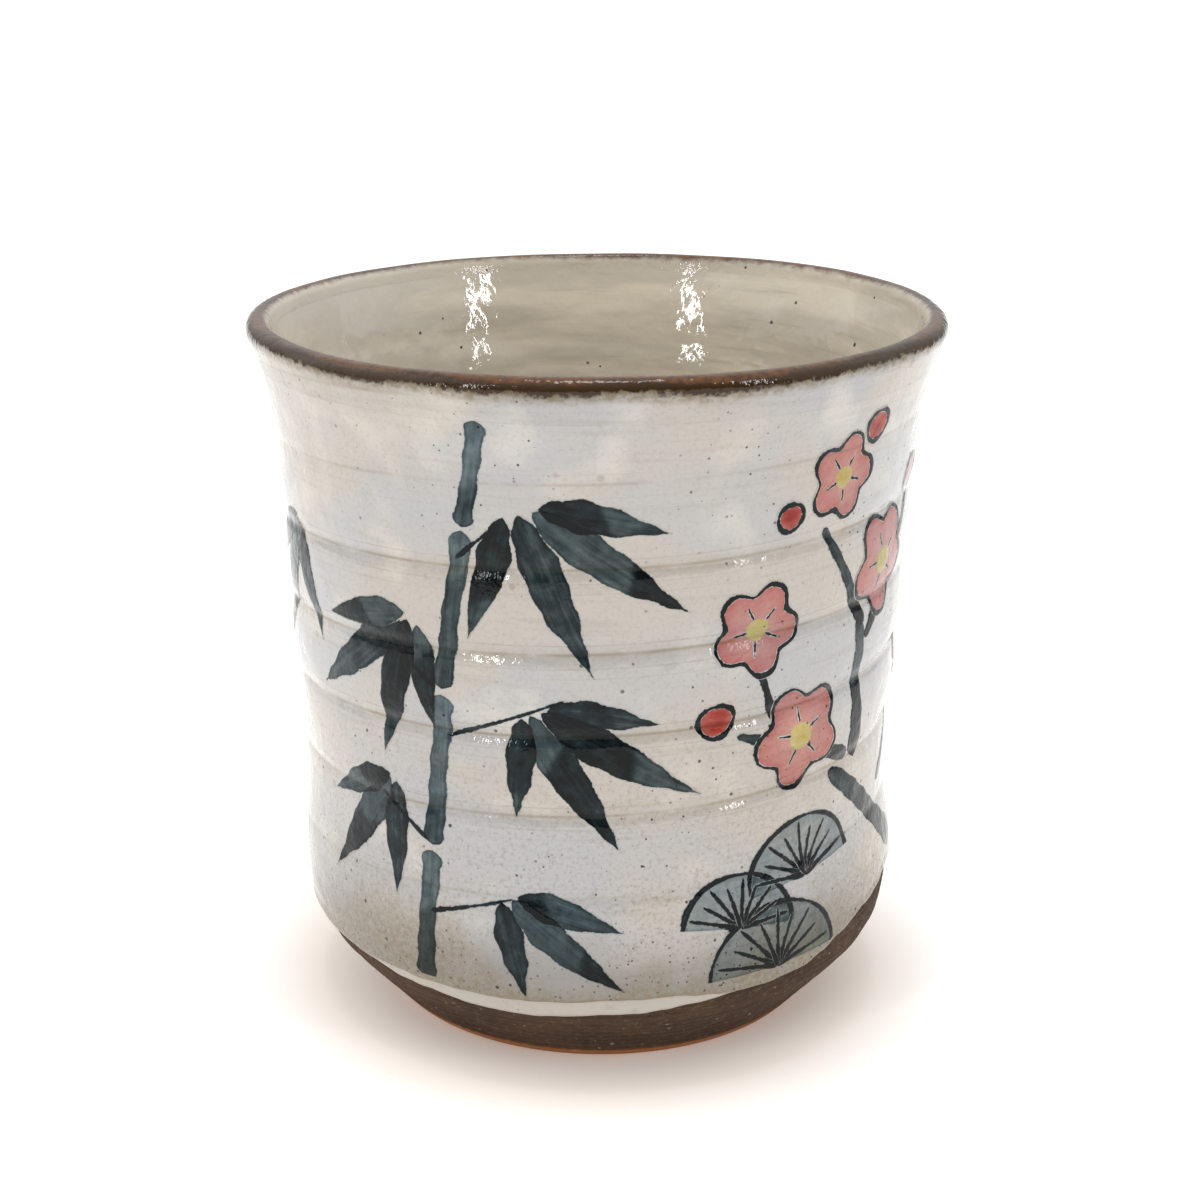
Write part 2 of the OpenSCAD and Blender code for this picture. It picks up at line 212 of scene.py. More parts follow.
class Wall:
    """The cup's surface in millimetres: its smooth outline, and what the potter's hands did to it."""

    def __init__(self, shape):
        def mm(value):
            return value / MM

        self.height, self.lip = mm(shape.height), mm(shape.lip_thickness) / 2
        self.slip, self.glaze = mm(shape.slip), mm(shape.glaze)
        self.coats = self.slip + self.glaze
        self.pitch, self.ring_depth = mm(shape.ring_pitch), mm(shape.ring_depth)
        self.ring_height = mm(shape.ring_height)
        self.foot_r, self.bevel = mm(shape.foot) / 2, mm(shape.foot_bevel)
        self.hip_z, self.waist_z = mm(shape.hip_height), mm(shape.waist_height)
        self.recess, self.dish = mm(shape.recess), mm(shape.recess_dish)
        self.recess_r = self.foot_r - mm(shape.foot_ring)
        self.rim_r = mm(shape.rim) / 2

        # The foot is bare clay, so the finished surface runs outside it by the thickness of the coats
        foot = np.array([self.foot_r + self.bevel, self.bevel]) + self.coats * heading(FOOT_SLOPE - 90)
        hip = np.array([mm(shape.hip) / 2, self.hip_z])
        waist = np.array([mm(shape.waist) / 2, self.waist_z])
        neck = np.array([mm(shape.neck) / 2, mm(shape.neck_height)])
        centre = np.array([self.rim_r - self.lip, self.height - self.lip])
        side = heading(FLARE_SLOPE - 90) * self.lip
        lip_out, lip_in = centre + side, centre - side
        outside = np.concatenate([stretch(hip, 90, waist, 90, WALL_PULLS),
                                  stretch(waist, 90, neck, NECK_SLOPE, WALL_PULLS),
                                  stretch(neck, NECK_SLOPE, lip_out, FLARE_SLOPE, FLARE_PULLS), [lip_out]])
        turn = np.radians(FLARE_SLOPE - 90 + 180 * np.linspace(0, 1, OUTLINE_STEPS)[1:-1])
        lip = centre + self.lip * np.stack([np.cos(turn), np.sin(turn)], 1)

        # The wall thickens from the lip to the waist and from there to the hip
        z = outside[:, 1]
        lip_width = mm(shape.lip_thickness) / math.sin(math.radians(FLARE_SLOPE))
        waist_width, hip_width = mm(shape.waist_thickness), mm(shape.hip_thickness)
        up = np.maximum(z - self.waist_z, 0) / (lip_out[1] - self.waist_z)
        down = (self.waist_z - z) / (self.waist_z - self.hip_z)
        width = waist_width + np.where(z > self.waist_z, (lip_width - waist_width) * up ** 2,
                                       (hip_width - waist_width) * down)
        inside = np.stack([outside[:, 0] - width, z], 1)[::-1]
        a, b = inside[-1], np.array([0, mm(shape.floor_height)])
        c = np.array([a[0], a[1] + CORNER_PULLS[0] * (b[1] - a[1])])
        d = np.array([a[0] * (1 - CORNER_PULLS[1]), b[1]])
        corner = pulled(a, c, d, b, np.linspace(0, 1, OUTLINE_STEPS)[1:, None])

        self.line = np.concatenate([stretch(foot, FOOT_SLOPE, hip, 90, FOOT_PULLS), outside, lip, [lip_in],
                                    inside, corner])
        step = np.gradient(self.line, axis=0)
        self.inward = np.stack([-step[:, 1], step[:, 0]], 1) / np.linalg.norm(step, axis=1)[:, None]
        self.inward[-1] = [0, -1]
        self.outside_end = OUTLINE_STEPS + len(outside)
        self.crest = self.outside_end + OUTLINE_STEPS // 2
        self.outside_r, self.outside_z = self.line[:self.outside_end].T

    def sunk(self, depth, end=None):
        """The outline sunk by a depth, square to itself."""
        return (self.line + depth * self.inward)[:end]

    def radius(self, z, depth=0.0):
        """Radius of the outside wall at a height, sunk by a depth."""
        side = self.sunk(depth, self.outside_end)
        return np.interp(z, side[:, 1], side[:, 0])

    def band_end(self):
        """Where the band stops on the inside of the lip, as a place in the outline."""
        return self.crest + int(np.argmax(self.line[self.crest:, 1] < self.height - BAND_REACH_IN))

    def spiral(self, turn, z):
        """Depth of the finger spiral's groove: 0 on the ridges and 1 in its middle. It rises to the right."""
        phase = np.pi * (z - self.ring_height - self.pitch * turn / (2 * np.pi)) / self.pitch
        soft = GROOVE_SOFTNESS ** 2
        bottom, ridge = soft ** (1 / 3), (1 + soft) ** (1 / 3)
        return 1 - ((np.sin(phase) ** 2 + soft) ** (1 / 3) - bottom) / (ridge - bottom)

    def by_hand(self, x, y, z):
        """Where each point of the turned form ends up on the thrown cup, with its spiral and its wobbles."""
        turn, r = np.arctan2(x, -y), np.hypot(x, y)
        wall_r = np.interp(z, self.outside_z, self.outside_r)
        outside = rise(r, wall_r - INNER_DEPTH, wall_r - OUTER_DEPTH)
        rising = np.clip((z - self.hip_z * 0.8) / self.pitch, 0, 1)
        ending = np.clip((self.height - z) / self.pitch - 0.35, 0, 1)
        pressed = np.minimum(rise(z, *BELT[:2]), 1 - rise(z, *BELT[2:]))
        uneven = 0.8 + 0.35 * ripple(turn, (1, 0.4), (2, 2.1)) + 0.15 * ripple(turn + z / 9, (3, 1.0))
        strength = self.ring_depth * uneven * (BELT_LEAST + (BELT_MOST - BELT_LEAST) * pressed)
        groove = strength * rising * ending * self.spiral(turn, z)
        # The bowl has rings of its own, a little wider apart, on its wall and not on its floor
        in_bowl = (1 - outside) * rise(r, 24, 30) * rise(z, 14, 20)
        bowl_rings = BOWL_RING_DEPTH * rising * self.spiral(turn, 0.9 * z + 2)
        up = z / self.height
        lump = OUT_OF_ROUND * up * ripple(turn, (2, 1.9), (3, 0.3))
        lump += DENTS * ripple(turn + 0.05 * z, (5, 2.4), (7, 0.9))
        moved = r + np.minimum(r, 1) * (lump * rise(z, 6, 26) - groove * outside + in_bowl * bowl_rings)
        lip_z = (LIP_TILT * np.cos(turn - math.radians(80)) + LIP_WAVER * ripple(turn, (3, 0.7), (5, 2.2))
                 + LIP_RIPPLE * ripple(turn, (11, 0.2), (17, 1.4)))
        shift = FOOT_SHIFT * (1 - rise(z, 12, 34))
        return moved * np.sin(turn) + shift, -moved * np.cos(turn), z + lip_z * up ** 4


# Steps round the cup of every turned piece
TURN_STEPS = 288
# Points closer than this, in millimetres, are one
SAME_POINT = 0.004
# Edges sharper than these stay sharp, or are rounded
SMOOTH_ANGLE, ROUNDED_ANGLE = math.radians(40), math.radians(60)


def turned(name, profile):
    """Draws a cross-section of (radius, height) points in millimetres and spins it round the axis."""
    profile = np.asarray(profile).tolist()
    bpy.ops.object.select_all(action="DESELECT")
    bpy.ops.mesh.primitive_plane_add(size=MM)
    piece = bpy.context.object
    piece.name = piece.data.name = name
    bpy.ops.object.mode_set(mode="EDIT")
    bpy.ops.mesh.merge(type="CENTER")
    bpy.ops.transform.translate(value=(profile[0][0] * MM, 0, profile[0][1] * MM))
    for (r0, z0), (r1, z1) in zip(profile, profile[1:]):
        step = ((r1 - r0) * MM, 0, (z1 - z0) * MM)
        bpy.ops.mesh.extrude_region_move(TRANSFORM_OT_translate={"value": step})
    bpy.ops.mesh.select_all(action="SELECT")
    bpy.ops.mesh.spin(steps=TURN_STEPS, angle=2 * math.pi, center=(0, 0, 0), axis=(0, 0, 1))
    bpy.ops.mesh.select_all(action="SELECT")
    bpy.ops.mesh.remove_doubles(threshold=SAME_POINT * MM)
    bpy.ops.mesh.normals_make_consistent(inside=False)
    bpy.ops.object.mode_set(mode="OBJECT")
    return piece


def points_of(piece):
    """The mesh's points as three arrays, in millimetres."""
    co = np.empty(len(piece.data.vertices) * 3)
    piece.data.vertices.foreach_get("co", co)
    return co.reshape(-1, 3).T / MM


def move_points(piece, x, y, z):
    """Sets the mesh's points from three arrays, in millimetres."""
    piece.data.vertices.foreach_set("co", (np.stack([x, y, z], 1) * MM).ravel())
    piece.data.update()


def write(piece, **values):
    """Stores values on the mesh's points for the material to read."""
    for key, value in values.items():
        stored = piece.data.attributes.new(key, "FLOAT", "POINT")
        stored.data.foreach_set("value", np.broadcast_to(value, len(piece.data.vertices)).astype(np.float32))


def choose(pieces):
    """Selects these pieces alone, and works on the first."""
    bpy.ops.object.select_all(action="DESELECT")
    for piece in pieces:
        piece.select_set(True)
    bpy.context.view_layer.objects.active = pieces[0]


def edit_all(piece, operator, **settings):
    """Runs one mesh operator on the whole of a piece."""
    choose([piece])
    bpy.ops.object.mode_set(mode="EDIT")
    bpy.ops.mesh.select_all(action="SELECT")
    operator(**settings)
    bpy.ops.object.mode_set(mode="OBJECT")


def face_out(piece, wanted=1):
    """Turns the sheet's faces over if they look away from the wanted side: 1 is outwards, -1 is inwards."""
    faces = piece.data.polygons
    normals, centres = np.empty(3 * len(faces)), np.empty(3 * len(faces))
    faces.foreach_get("normal", normals)
    faces.foreach_get("center", centres)
    if wanted * (normals.reshape(-1, 3)[:, :2] * centres.reshape(-1, 3)[:, :2]).sum() < 0:
        edit_all(piece, bpy.ops.mesh.flip_normals)


def thicken(piece, thickness, edge=0.0):
    """Gives a sheet its thickness on the side away from its face, and rounds its cut edges."""
    choose([piece])
    shell = piece.modifiers.new("thickness", "SOLIDIFY")
    shell.thickness, shell.offset, shell.use_even_offset = thickness * MM, -1, True
    bpy.ops.object.modifier_apply(modifier=shell.name)
    if edge:
        rounding = piece.modifiers.new("edge", "BEVEL")
        rounding.width, rounding.segments, rounding.limit_method = edge * MM, 2, "ANGLE"
        rounding.angle_limit = ROUNDED_ANGLE
        bpy.ops.object.modifier_apply(modifier=rounding.name)
    bpy.ops.object.shade_smooth_by_angle(angle=SMOOTH_ANGLE)


def hand_over(piece, material, slot, *nodes):
    """Gives the finished piece its material, its place in the frame and the nodes that it stands for."""
    piece.data.materials.clear()
    piece.data.materials.append(material)
    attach(piece, "root")
    if nodes:
        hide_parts(*nodes)


def graded(low, high, first, growth, most):
    """Steps from low to high that begin fine and grow up to a limit."""
    steps, step = [low], first
    while steps[-1] + step < high:
        steps.append(steps[-1] + step)
        step = min(step * growth, most)
    return np.array(steps + [high])


# Kinds of node with their main setting: sums, the lesser and the greater of two values, a value eased from
# one range to another and held at both ends, and one colour laid over another by a share
PLUS, MINUS, TIMES, OVER = "Math ADD", "Math SUBTRACT", "Math MULTIPLY", "Math DIVIDE"
TIMES_PLUS, LESSER, GREATER = "Math MULTIPLY_ADD", "Math MINIMUM", "Math MAXIMUM"
EASE, LAY = "MapRange SMOOTHSTEP", "Mix RGBA"
MAIN_SETTING = {"Math": "operation", "MapRange": "interpolation_type", "Mix": "data_type",
                "TexVoronoi": "feature", "Attribute": "attribute_name"}


def add_node(tree, kind, *values, out=None, **settings):
    """Adds one node and returns its first live output, or those that out names. Values (numbers, colours or
    other nodes' outputs) fill its live inputs in order. Settings are its own or its inputs', by name."""
    kind, _, choice = kind.partition(" ")
    node = tree.nodes.new("ShaderNode" + kind)
    if choice:
        setattr(node, MAIN_SETTING[kind], choice)
    filled = list(zip([socket for socket in node.inputs if socket.enabled], values))
    for key, value in settings.items():
        if hasattr(node, key):
            setattr(node, key, value)
        else:
            filled.append((node.inputs[key], value))
    for socket, value in filled:
        if isinstance(value, bpy.types.NodeSocket):
            tree.links.new(value, socket)
        else:
            socket.default_value = (*value, 1) if socket.type == "RGBA" else value
    if isinstance(out, tuple):
        return [node.outputs[key] for key in out]
    return node.outputs[out] if out else next((socket for socket in node.outputs if socket.enabled), None)


def blank(name):
    """A new material without nodes, and the function that adds one to it."""
    material = bpy.data.materials.new(name)
    material.use_nodes = True
    material.node_tree.nodes.clear()
    return material, partial(add_node, material.node_tree)


def put_out(add, base, rough, height, relief, ior=1.55, glow=0.0, shine=0.5):
    """Ends a material: a ceramic surface with its colour, its roughness and its relief in millimetres."""
    bump = add("Bump", Strength=1.0, Distance=relief * MM, Height=height)
    surface = {"Base Color": base, "Roughness": rough, "Normal": bump, "IOR": ior,
               "Specular IOR Level": shine}
    if glow:
        surface.update({"Emission Color": (1, 1, 1), "Emission Strength": glow})
    add("OutputMaterial", add("BsdfPrincipled", **surface))


def cup_place(add):
    """Object coordinates, the height in millimetres and the turn round the axis."""
    place = add("TexCoord", out="Object")
    x, y, z = add("SeparateXYZ", place, out=("X", "Y", "Z"))
    return place, add(OVER, z, MM), add("Math ARCTAN2", x, add(TIMES, y, -1.0))


def radius_of(add, place):
    """Distance from the axis, in millimetres."""
    x, y = add("SeparateXYZ", place, out=("X", "Y"))
    squares = add(PLUS, add("Math POWER", x, 2.0), add("Math POWER", y, 2.0))
    return add(OVER, add("Math SQRT", squares), MM)


def grain(add, place, size, detail=2.0, roughness=0.5, flat=1.0, offset=0.0):
    """Cloudy noise whose clouds are about size millimetres wide, and flat times wider than they are high."""
    scaled = add("Mapping", place, Location=(offset, offset, offset), Scale=(1, 1, flat))
    return add("TexNoise", scaled, Scale=1 / (size * MM), Detail=detail, Roughness=roughness)


def specks(add, place, spacing, smallest, largest, share):
    """Round specks, one in a share of a grid's cells, from smallest to largest millimetres across."""
    distance, colour = add("TexVoronoi F1", place, Scale=1 / (spacing * MM), out=("Distance", "Color"))
    chance, size = add("SeparateColor", colour, out=("Red", "Green"))
    radius = add(EASE, size, 0.0, 1.0, smallest / spacing / 2, largest / spacing / 2)
    return add(TIMES, add(EASE, add(OVER, distance, radius), 1.25, 0.7), add("Math LESS_THAN", chance, share))


def groove_lines(add, wall, height, turn, beside=0.0):
    """0 at the bottom of the finger spiral's groove and 1 on its ridges, or the same a phase beside it."""
    above = add(MINUS, add(MINUS, height, wall.ring_height), add(TIMES, turn, wall.pitch / (2 * math.pi)))
    return add("Math ABSOLUTE", add("Math SINE", add(PLUS, add(TIMES, above, math.pi / wall.pitch), beside)))


# Thin lines of iron along the groove and beside it: how far beside as a phase, how strong, and how wide
GROOVE_LINES = ((0.0, 0.2, 0.34), (0.0, 0.65, 0.10), (0.5, 0.2, 0.05), (-0.36, 0.28, 0.05),
                (0.86, 0.14, 0.05))
# Relief of the milky glaze in millimetres, from the bottom of a dip to the top of a swell
GLAZE_RELIEF = 0.16


def milky(add, wall, finish):
    """The milky glaze's colour, roughness and relief, for every piece that it covers or shows through."""
    place, height, turn = cup_place(add)
    low = add(EASE, height, 29, 14)
    drift = grain(add, place, size=22, flat=1.5, offset=0.31)
    clouds = grain(add, place, size=8, detail=1.5, flat=1.1, offset=0.77)
    base = add(LAY, add(EASE, drift, 0.38, 0.60), finish.glaze_cool, finish.glaze_warm)
    layers = [(add(EASE, clouds, 0.52, 0.78, 0, 0.62), finish.glaze_white)]
    # Grain of about half a millimetre where the body's iron shows through
    fine_grain = grain(add, place, size=0.5, detail=3, roughness=0.7, offset=0.05)
    grainy = add(TIMES, add(EASE, fine_grain, 0.45, 0.75), add(EASE, height, 60, 12, 0.2, 0.55))
    layers.append((grainy, finish.glaze_tan))
    # Fine streaks that the potter's fingers left, about 0.8 mm high and many times as long
    streaks = grain(add, place, size=14, flat=17, offset=0.13)
    layers.append((add(EASE, streaks, 0.50, 0.78, 0, 0.14), finish.glaze_tan))
    # Iron has gathered in thin broken lines along the groove and beside it, most of all at mid wall
    on_wall = add(LESSER, add(EASE, height, *BELT[:2], BELT_LEAST, 1),
                  add(EASE, height, *BELT[2:], 1, BELT_LEAST))
    broken = add(EASE, grain(add, place, size=11, detail=3, roughness=0.6, offset=0.55), 0.28, 0.55)
    for beside, share, reach in GROOVE_LINES:
        line = add(EASE, groove_lines(add, wall, height, turn, beside), reach, 0.01, 0, share)
        layers.append((add(TIMES, line, add(TIMES, broken, on_wall)), finish.groove))
    # Where the wall turns in and down to the foot the glaze is greyed: painted shade, laid over glaze that
    # runs thin there
    turned_in_shade = add(EASE, add(PLUS, height, add(TIMES, drift, 8.0)), 26, 19, 0, 0.85)
    layers.append((turned_in_shade, finish.painted_shade_glaze))
    # Haze of iron above the dip line, where the glaze ran thin, in patches and more of it away from the front
    thin = add("Attribute thin", out="Fac")
    mottle = grain(add, place, size=0.6, detail=4, roughness=0.75, offset=0.21)
    patches = grain(add, place, size=11, detail=3, roughness=0.55, offset=0.47)
    aside = add(EASE, add("Math ABSOLUTE", turn), 0.15, 0.65, -0.05, 0.16)
    haze = add(PLUS, add(TIMES_PLUS, thin, 0.35, aside), patches)
    haze = add(TIMES, add(EASE, haze, 0.44, 0.74), add(EASE, mottle, 0.32, 0.68, 0.3, 1.0))
    layers.append((add(TIMES, haze, low), finish.glaze_tan))
    layers.append((add(EASE, thin, 0.80, 0.97, 0, 0.5), finish.glaze_tan))
    # Soft brown smudges of 0.6 to 1.4 mm, where a grain of iron melted just under the surface
    smudge = specks(add, place, 5.5, 0.6, 1.4, 0.4)
    layers.append((add(TIMES, smudge, 0.35), finish.glaze_tan))
    # Iron specks of 0.1 to 0.5 mm, in patches, and closest together near the foot
    fine = specks(add, place, 1.05, 0.12, 0.32, 0.8)
    coarse = specks(add, place, 2.5, 0.22, 0.48, 0.8)
    pepper = specks(add, place, 0.7, 0.12, 0.3, 0.8)
    patchy = add(PLUS, grain(add, place, size=15, offset=0.9), add(TIMES, low, 0.15))
    sparse = add(EASE, patchy, 0.42, 0.64, 0.12, 0.9)
    dark = add(GREATER, add(TIMES, fine, sparse), add(TIMES, coarse, add(EASE, height, 80, 20, 0.5, 1)))
    dark = add(GREATER, dark, add(TIMES, pepper, add(TIMES, low, sparse)))
    layers.append((dark, finish.speck))
    for share, colour in layers:
        base = add(LAY, share, base, colour)
    # The surface undulates gently every few millimetres, and dips at each speck
    swell = grain(add, place, size=3.4, detail=1, offset=0.4)
    peel = grain(add, place, size=0.9, roughness=0.6, offset=0.6)
    relief = add(TIMES_PLUS, fine_grain, 0.05, add(PLUS, swell, add(TIMES, peel, 0.5)))
    relief = add(MINUS, relief, add(TIMES, dark, 0.15))
    # The groove ends in a crease that the mesh is too coarse for
    crease = add(TIMES, add(EASE, groove_lines(add, wall, height, turn), 0.42, 0.0), on_wall)
    relief = add(MINUS, relief, add(TIMES, crease, 1.2))
    return base, add(EASE, clouds, 0.3, 0.7, 0.02, 0.045), relief, place, height


def glaze_material(wall, finish):
    """Milky feldspar glaze, dipped: a soft cloudy white with a wet gloss, iron specks and tan grooves."""
    material, add = blank("milky_glaze")
    base, rough, relief, _, _ = milky(add, wall, finish)
    put_out(add, base, rough, relief, GLAZE_RELIEF)
    return material


def straw(add, place, finish):
    """The liner glaze's colour: greyish straw with darker rings, and painted light that makes it whiter
    towards the left.
    """
    rings = grain(add, place, size=30, detail=3, roughness=0.55, flat=7, offset=0.44)
    clouds = grain(add, place, size=9, detail=3, flat=1.5, offset=0.12)
    streaks = grain(add, place, size=16, detail=3, roughness=0.6, flat=18, offset=0.7)
    x = add("SeparateXYZ", place, out="X")
    base = add(LAY, add(EASE, rings, 0.40, 0.60), finish.liner, finish.liner_grey)
    for share, colour in ((add(EASE, clouds, 0.52, 0.75, 0, 0.35), finish.glaze_white),
                          (add(EASE, streaks, 0.55, 0.8, 0, 0.3), finish.glaze_tan),
                          # Painted light: the bowl's left inner wall is laid whiter, as if lit more
                          (add(EASE, x, -8 * MM, -40 * MM, 0, 0.55), finish.glaze_white),
                          (specks(add, place, 3.2, 0.3, 0.6, 0.6), finish.speck)):
        base = add(LAY, share, base, colour)
    return base


def lip_material(wall, finish):
    """Iron glaze wiped on the lip, over the milky glaze outside and the liner glaze inside: reddish on the
    crest, dark where it pooled, and ragged and thin along its lower edge."""
    material, add = blank("iron_glaze")
    base, rough, relief, place, height = milky(add, wall, finish)
    inward = add(MINUS, wall.rim_r - wall.lip, radius_of(add, place))
    band_end = wall.height - BAND_REACH_IN
    in_bowl = add(LESSER, add(EASE, inward, 0.2, 1.2), add(EASE, height, band_end - 1, band_end - 0.3))
    base = add(LAY, in_bowl, base, straw(add, place, finish))
    # How far down a place is, so that the band's lower edge is ragged, drifts and is higher on the right
    ragged = grain(add, place, size=1.3, detail=3, roughness=0.6, offset=0.15)
    drift = grain(add, place, size=13, offset=0.64)
    uneven = add(PLUS, add(TIMES, ragged, 0.9), add(TIMES, drift, 1.9))
    x = add("SeparateXYZ", place, out="X")
    uneven = add(PLUS, uneven, add(EASE, x, 5 * MM, 35 * MM, 0, -0.6))
    down = add(MINUS, wall.height + 1.2, add(PLUS, height, uneven))
    outer = add(EASE, add(MINUS, inward, add(TIMES, ragged, 0.8)), 0.75, 0.0)
    worn = add(EASE, grain(add, place, size=0.9, detail=3, roughness=0.65, offset=0.83), 0.38, 0.66)
    crest = add(LAY, worn, finish.iron_crest, [c * 0.5 for c in finish.iron_crest])
    iron = add(LAY, add(EASE, down, 0.05, 0.5), crest, finish.iron_pool)
    thin = add(TIMES, add(EASE, down, 2.9, 1.3), add(EASE, worn, 0, 1, 0.45, 0.95))
    body = add(TIMES, add(EASE, add(PLUS, down, add(TIMES, worn, 0.4)), 1.85, 1.35), outer)
    base = add(LAY, add(TIMES, thin, add(EASE, inward, 1.1, 0.1)), base, finish.iron_thin)
    base = add(LAY, body, base, iron)
    lumps = add(TIMES, grain(add, place, size=1.1, detail=1, offset=0.38), 0.3)
    put_out(add, base, rough, add(PLUS, relief, add(TIMES, lumps, body)), GLAZE_RELIEF, shine=0.28)
    return material


def liner_material(finish):
    """Liner glaze, poured in and out, with a wet gloss."""
    material, add = blank("liner_glaze")
    place, _, _ = cup_place(add)
    swell = grain(add, place, size=3.0, detail=1, offset=0.4)
    peel = grain(add, place, size=1.2, detail=1, offset=0.6)
    fine = grain(add, place, size=0.45, roughness=0.6, offset=0.2)
    relief = add(PLUS, swell, add(PLUS, add(TIMES, peel, 0.3), add(TIMES, fine, 0.06)))
    put_out(add, straw(add, place, finish), 0.05, relief, GLAZE_RELIEF)
    return material


def slip_material(finish):
    """White slip under a thin clear glaze: smoother, whiter and less speckled than the milky glaze."""
    material, add = blank("white_slip")
    place, _, _ = cup_place(add)
    clouds = grain(add, place, size=6, detail=3, flat=3, offset=0.2)
    mottle = grain(add, place, size=1.6, detail=3, roughness=0.6, offset=0.5)
    base = add(LAY, add(EASE, clouds, 0.4, 0.65), finish.slip, finish.glaze_warm)
    base = add(LAY, add(EASE, mottle, 0.55, 0.75, 0, 0.3), base, finish.glaze_tan)
    base = add(LAY, specks(add, place, 1.6, 0.15, 0.45, 0.5), base, finish.speck)
    put_out(add, base, 0.28, mottle, 0.1)
    return material


def clay_material(finish):
    """Iron-bearing stoneware, turned and fired bare: matt dark brown, pale grit and a rusty lower edge."""
    material, add = blank("bare_stoneware")
    place, height, _ = cup_place(add)
    clouds = grain(add, place, size=8, detail=4, roughness=0.6, offset=0.33)
    fine = grain(add, place, size=0.7, detail=3, roughness=0.6, offset=0.71)
    # Flashing: the clay reddens towards the edge that touched the kiln shelf
    flash = add(EASE, add(PLUS, height, add(TIMES, fine, 0.8)), 1.8, 1.1)
    base = add(LAY, add(EASE, clouds, 0.35, 0.68), finish.clay, [c * 0.62 for c in finish.clay])
    for share, colour in ((add(EASE, fine, 0.5, 0.8, 0, 0.35), finish.grit), (flash, finish.clay_rust),
                          (specks(add, place, 1.4, 0.15, 0.5, 0.6), finish.grit),
                          (specks(add, place, 2.0, 0.15, 0.5, 0.6), finish.speck)):
        base = add(LAY, share, base, colour)
    # Turning lines of about 0.4 mm that the tool left round the foot
    lines = grain(add, place, size=9, detail=3, roughness=0.7, flat=26, offset=0.05)
    put_out(add, base, 0.78, add(PLUS, lines, add(TIMES, fine, 0.5)), 0.22, shine=0.2)
    return material


# What each pigment leaves of the white under it, from none to a full brush
INDIGO = ((0.0, "#ffffff"), (0.3, "#a9bcc4"), (0.55, "#61777f"), (0.78, "#283c43"), (1.0, "#0b1418"))
PINK = ((0.0, "#ffffff"), (0.4, "#f8bcb8"), (0.7, "#f09a97"), (1.0, "#d96660"))
YELLOW = ((0.0, "#ffffff"), (0.5, "#fdf4b8"), (1.0, "#efdb7c"))
RED = ((0.0, "#ffffff"), (0.4, "#f4a69c"), (0.8, "#d9544a"), (1.0, "#ad332e"))


def pigment_material(name, wall, finish, tints, spread):
    """Pigment brushed on the glaze before firing: it stains the glaze more where the brush was fuller, with
    soft edges. tints are (how much pigment, sRGB hex value of what it leaves of white)."""
    material, add = blank(name)
    base, rough, relief, place, _ = milky(add, wall, finish)
    stored = ("edge", "load", "under", "under_load", "along", "across")
    edge, load, under, under_load, along, across = [add("Attribute " + key, out="Fac") for key in stored]
    # The brush's hairs leave streaks about 0.3 mm wide along the stroke
    hairs = add("CombineXYZ", add(TIMES, along, 0.12), add(TIMES, across, 1.6))
    streak = add("TexNoise", hairs, Scale=1.0, Detail=3.0, Roughness=0.6)
    pool = grain(add, place, size=1.8, detail=3, roughness=0.55, offset=0.66)
    uneven = add(TIMES, add(MINUS, add(PLUS, streak, pool), 1.0), 0.75)
    fray = add(TIMES, add(MINUS, grain(add, place, size=0.55, detail=3, roughness=0.6, offset=0.2), 0.5), 0.4)

    def laid(edge, load):
        body = add(EASE, add(PLUS, edge, fray), 0.0, spread)
        rim = add(TIMES, add(EASE, edge, 0.55, 0.12), 0.10)
        amount = add(PLUS, add(TIMES, load, add(PLUS, 1.0, uneven)), rim)
        return add(TIMES, amount, body, use_clamp=True)

    ramp = add("ValToRGB", add(PLUS, laid(edge, load), laid(under, under_load), use_clamp=True))
    stops = ramp.node.color_ramp.elements
    while len(stops) < len(tints):
        stops.new(0.5)
    for stop, (at, tint) in zip(stops, tints):
        stop.position, stop.color = at, linear(tint) + (1,)
    base = add(LAY, 1.0, base, ramp, blend_type="MULTIPLY")
    put_out(add, base, rough, relief, GLAZE_RELIEF, shine=0.15)
    return material


# Heights of the films over the glaze in millimetres, lowest first, and how far they reach down into it
FIRST_LAYER, SECOND_LAYER, THIRD_LAYER, FOURTH_LAYER = 0.04, 0.065, 0.085, 0.1
FILM_ROOT = 0.03
# Width of a film's sunk border, size of its faces, and a distance well outside any mark, in millimetres
FILM_MARGIN, FILM_STEP, FAR_OUT = 0.14, 0.3, -5.0

# Sizes of the brushwork in millimetres
LEAF_LENGTH, LEAF_WIDTH, JOINT_LENGTH, STALK_WIDTH, BRANCH_LENGTH, BRANCH_WIDTH = 20, 4.8, 19, 3.4, 24, 3.8
BLOSSOM_WIDTH, HEART_WIDTH, BUD_WIDTH, PAD_WIDTH, PAD_HEIGHT = 13, 3.6, 4.4, 18, 8
OUTLINE_HALF, PAD_OUTLINE_HALF, STAMEN_LENGTH, STAMEN_WIDTH, NEEDLE_WIDTH = 0.32, 0.36, 1.9, 0.42, 0.8
PETALS, NOTCH, STAMENS, NEEDLES = 5, 0.26, 5, 9

# How full the brush is at the start of a stroke or the middle of a wash, and at its end or edge
LEAF_LOADS = ((0.95, 0.66), (0.62, 0.92), (0.84, 0.72))
JOINT_LOADS, TWIG_LOADS, BRANCH_LOADS, NEEDLE_LOADS = (0.66, 0.5), (0.95, 0.8), (0.98, 0.72), (0.98, 0.85)
PETAL_LOADS, DOT_LOADS, PAD_LOADS, STAMEN_LOADS = (0.35, 0.72), (0.85, 0.6), (0.2, 0.27), (0.9, 0.95)
OUTLINE_LOAD, PAD_OUTLINE_LOAD = 0.95, 0.9

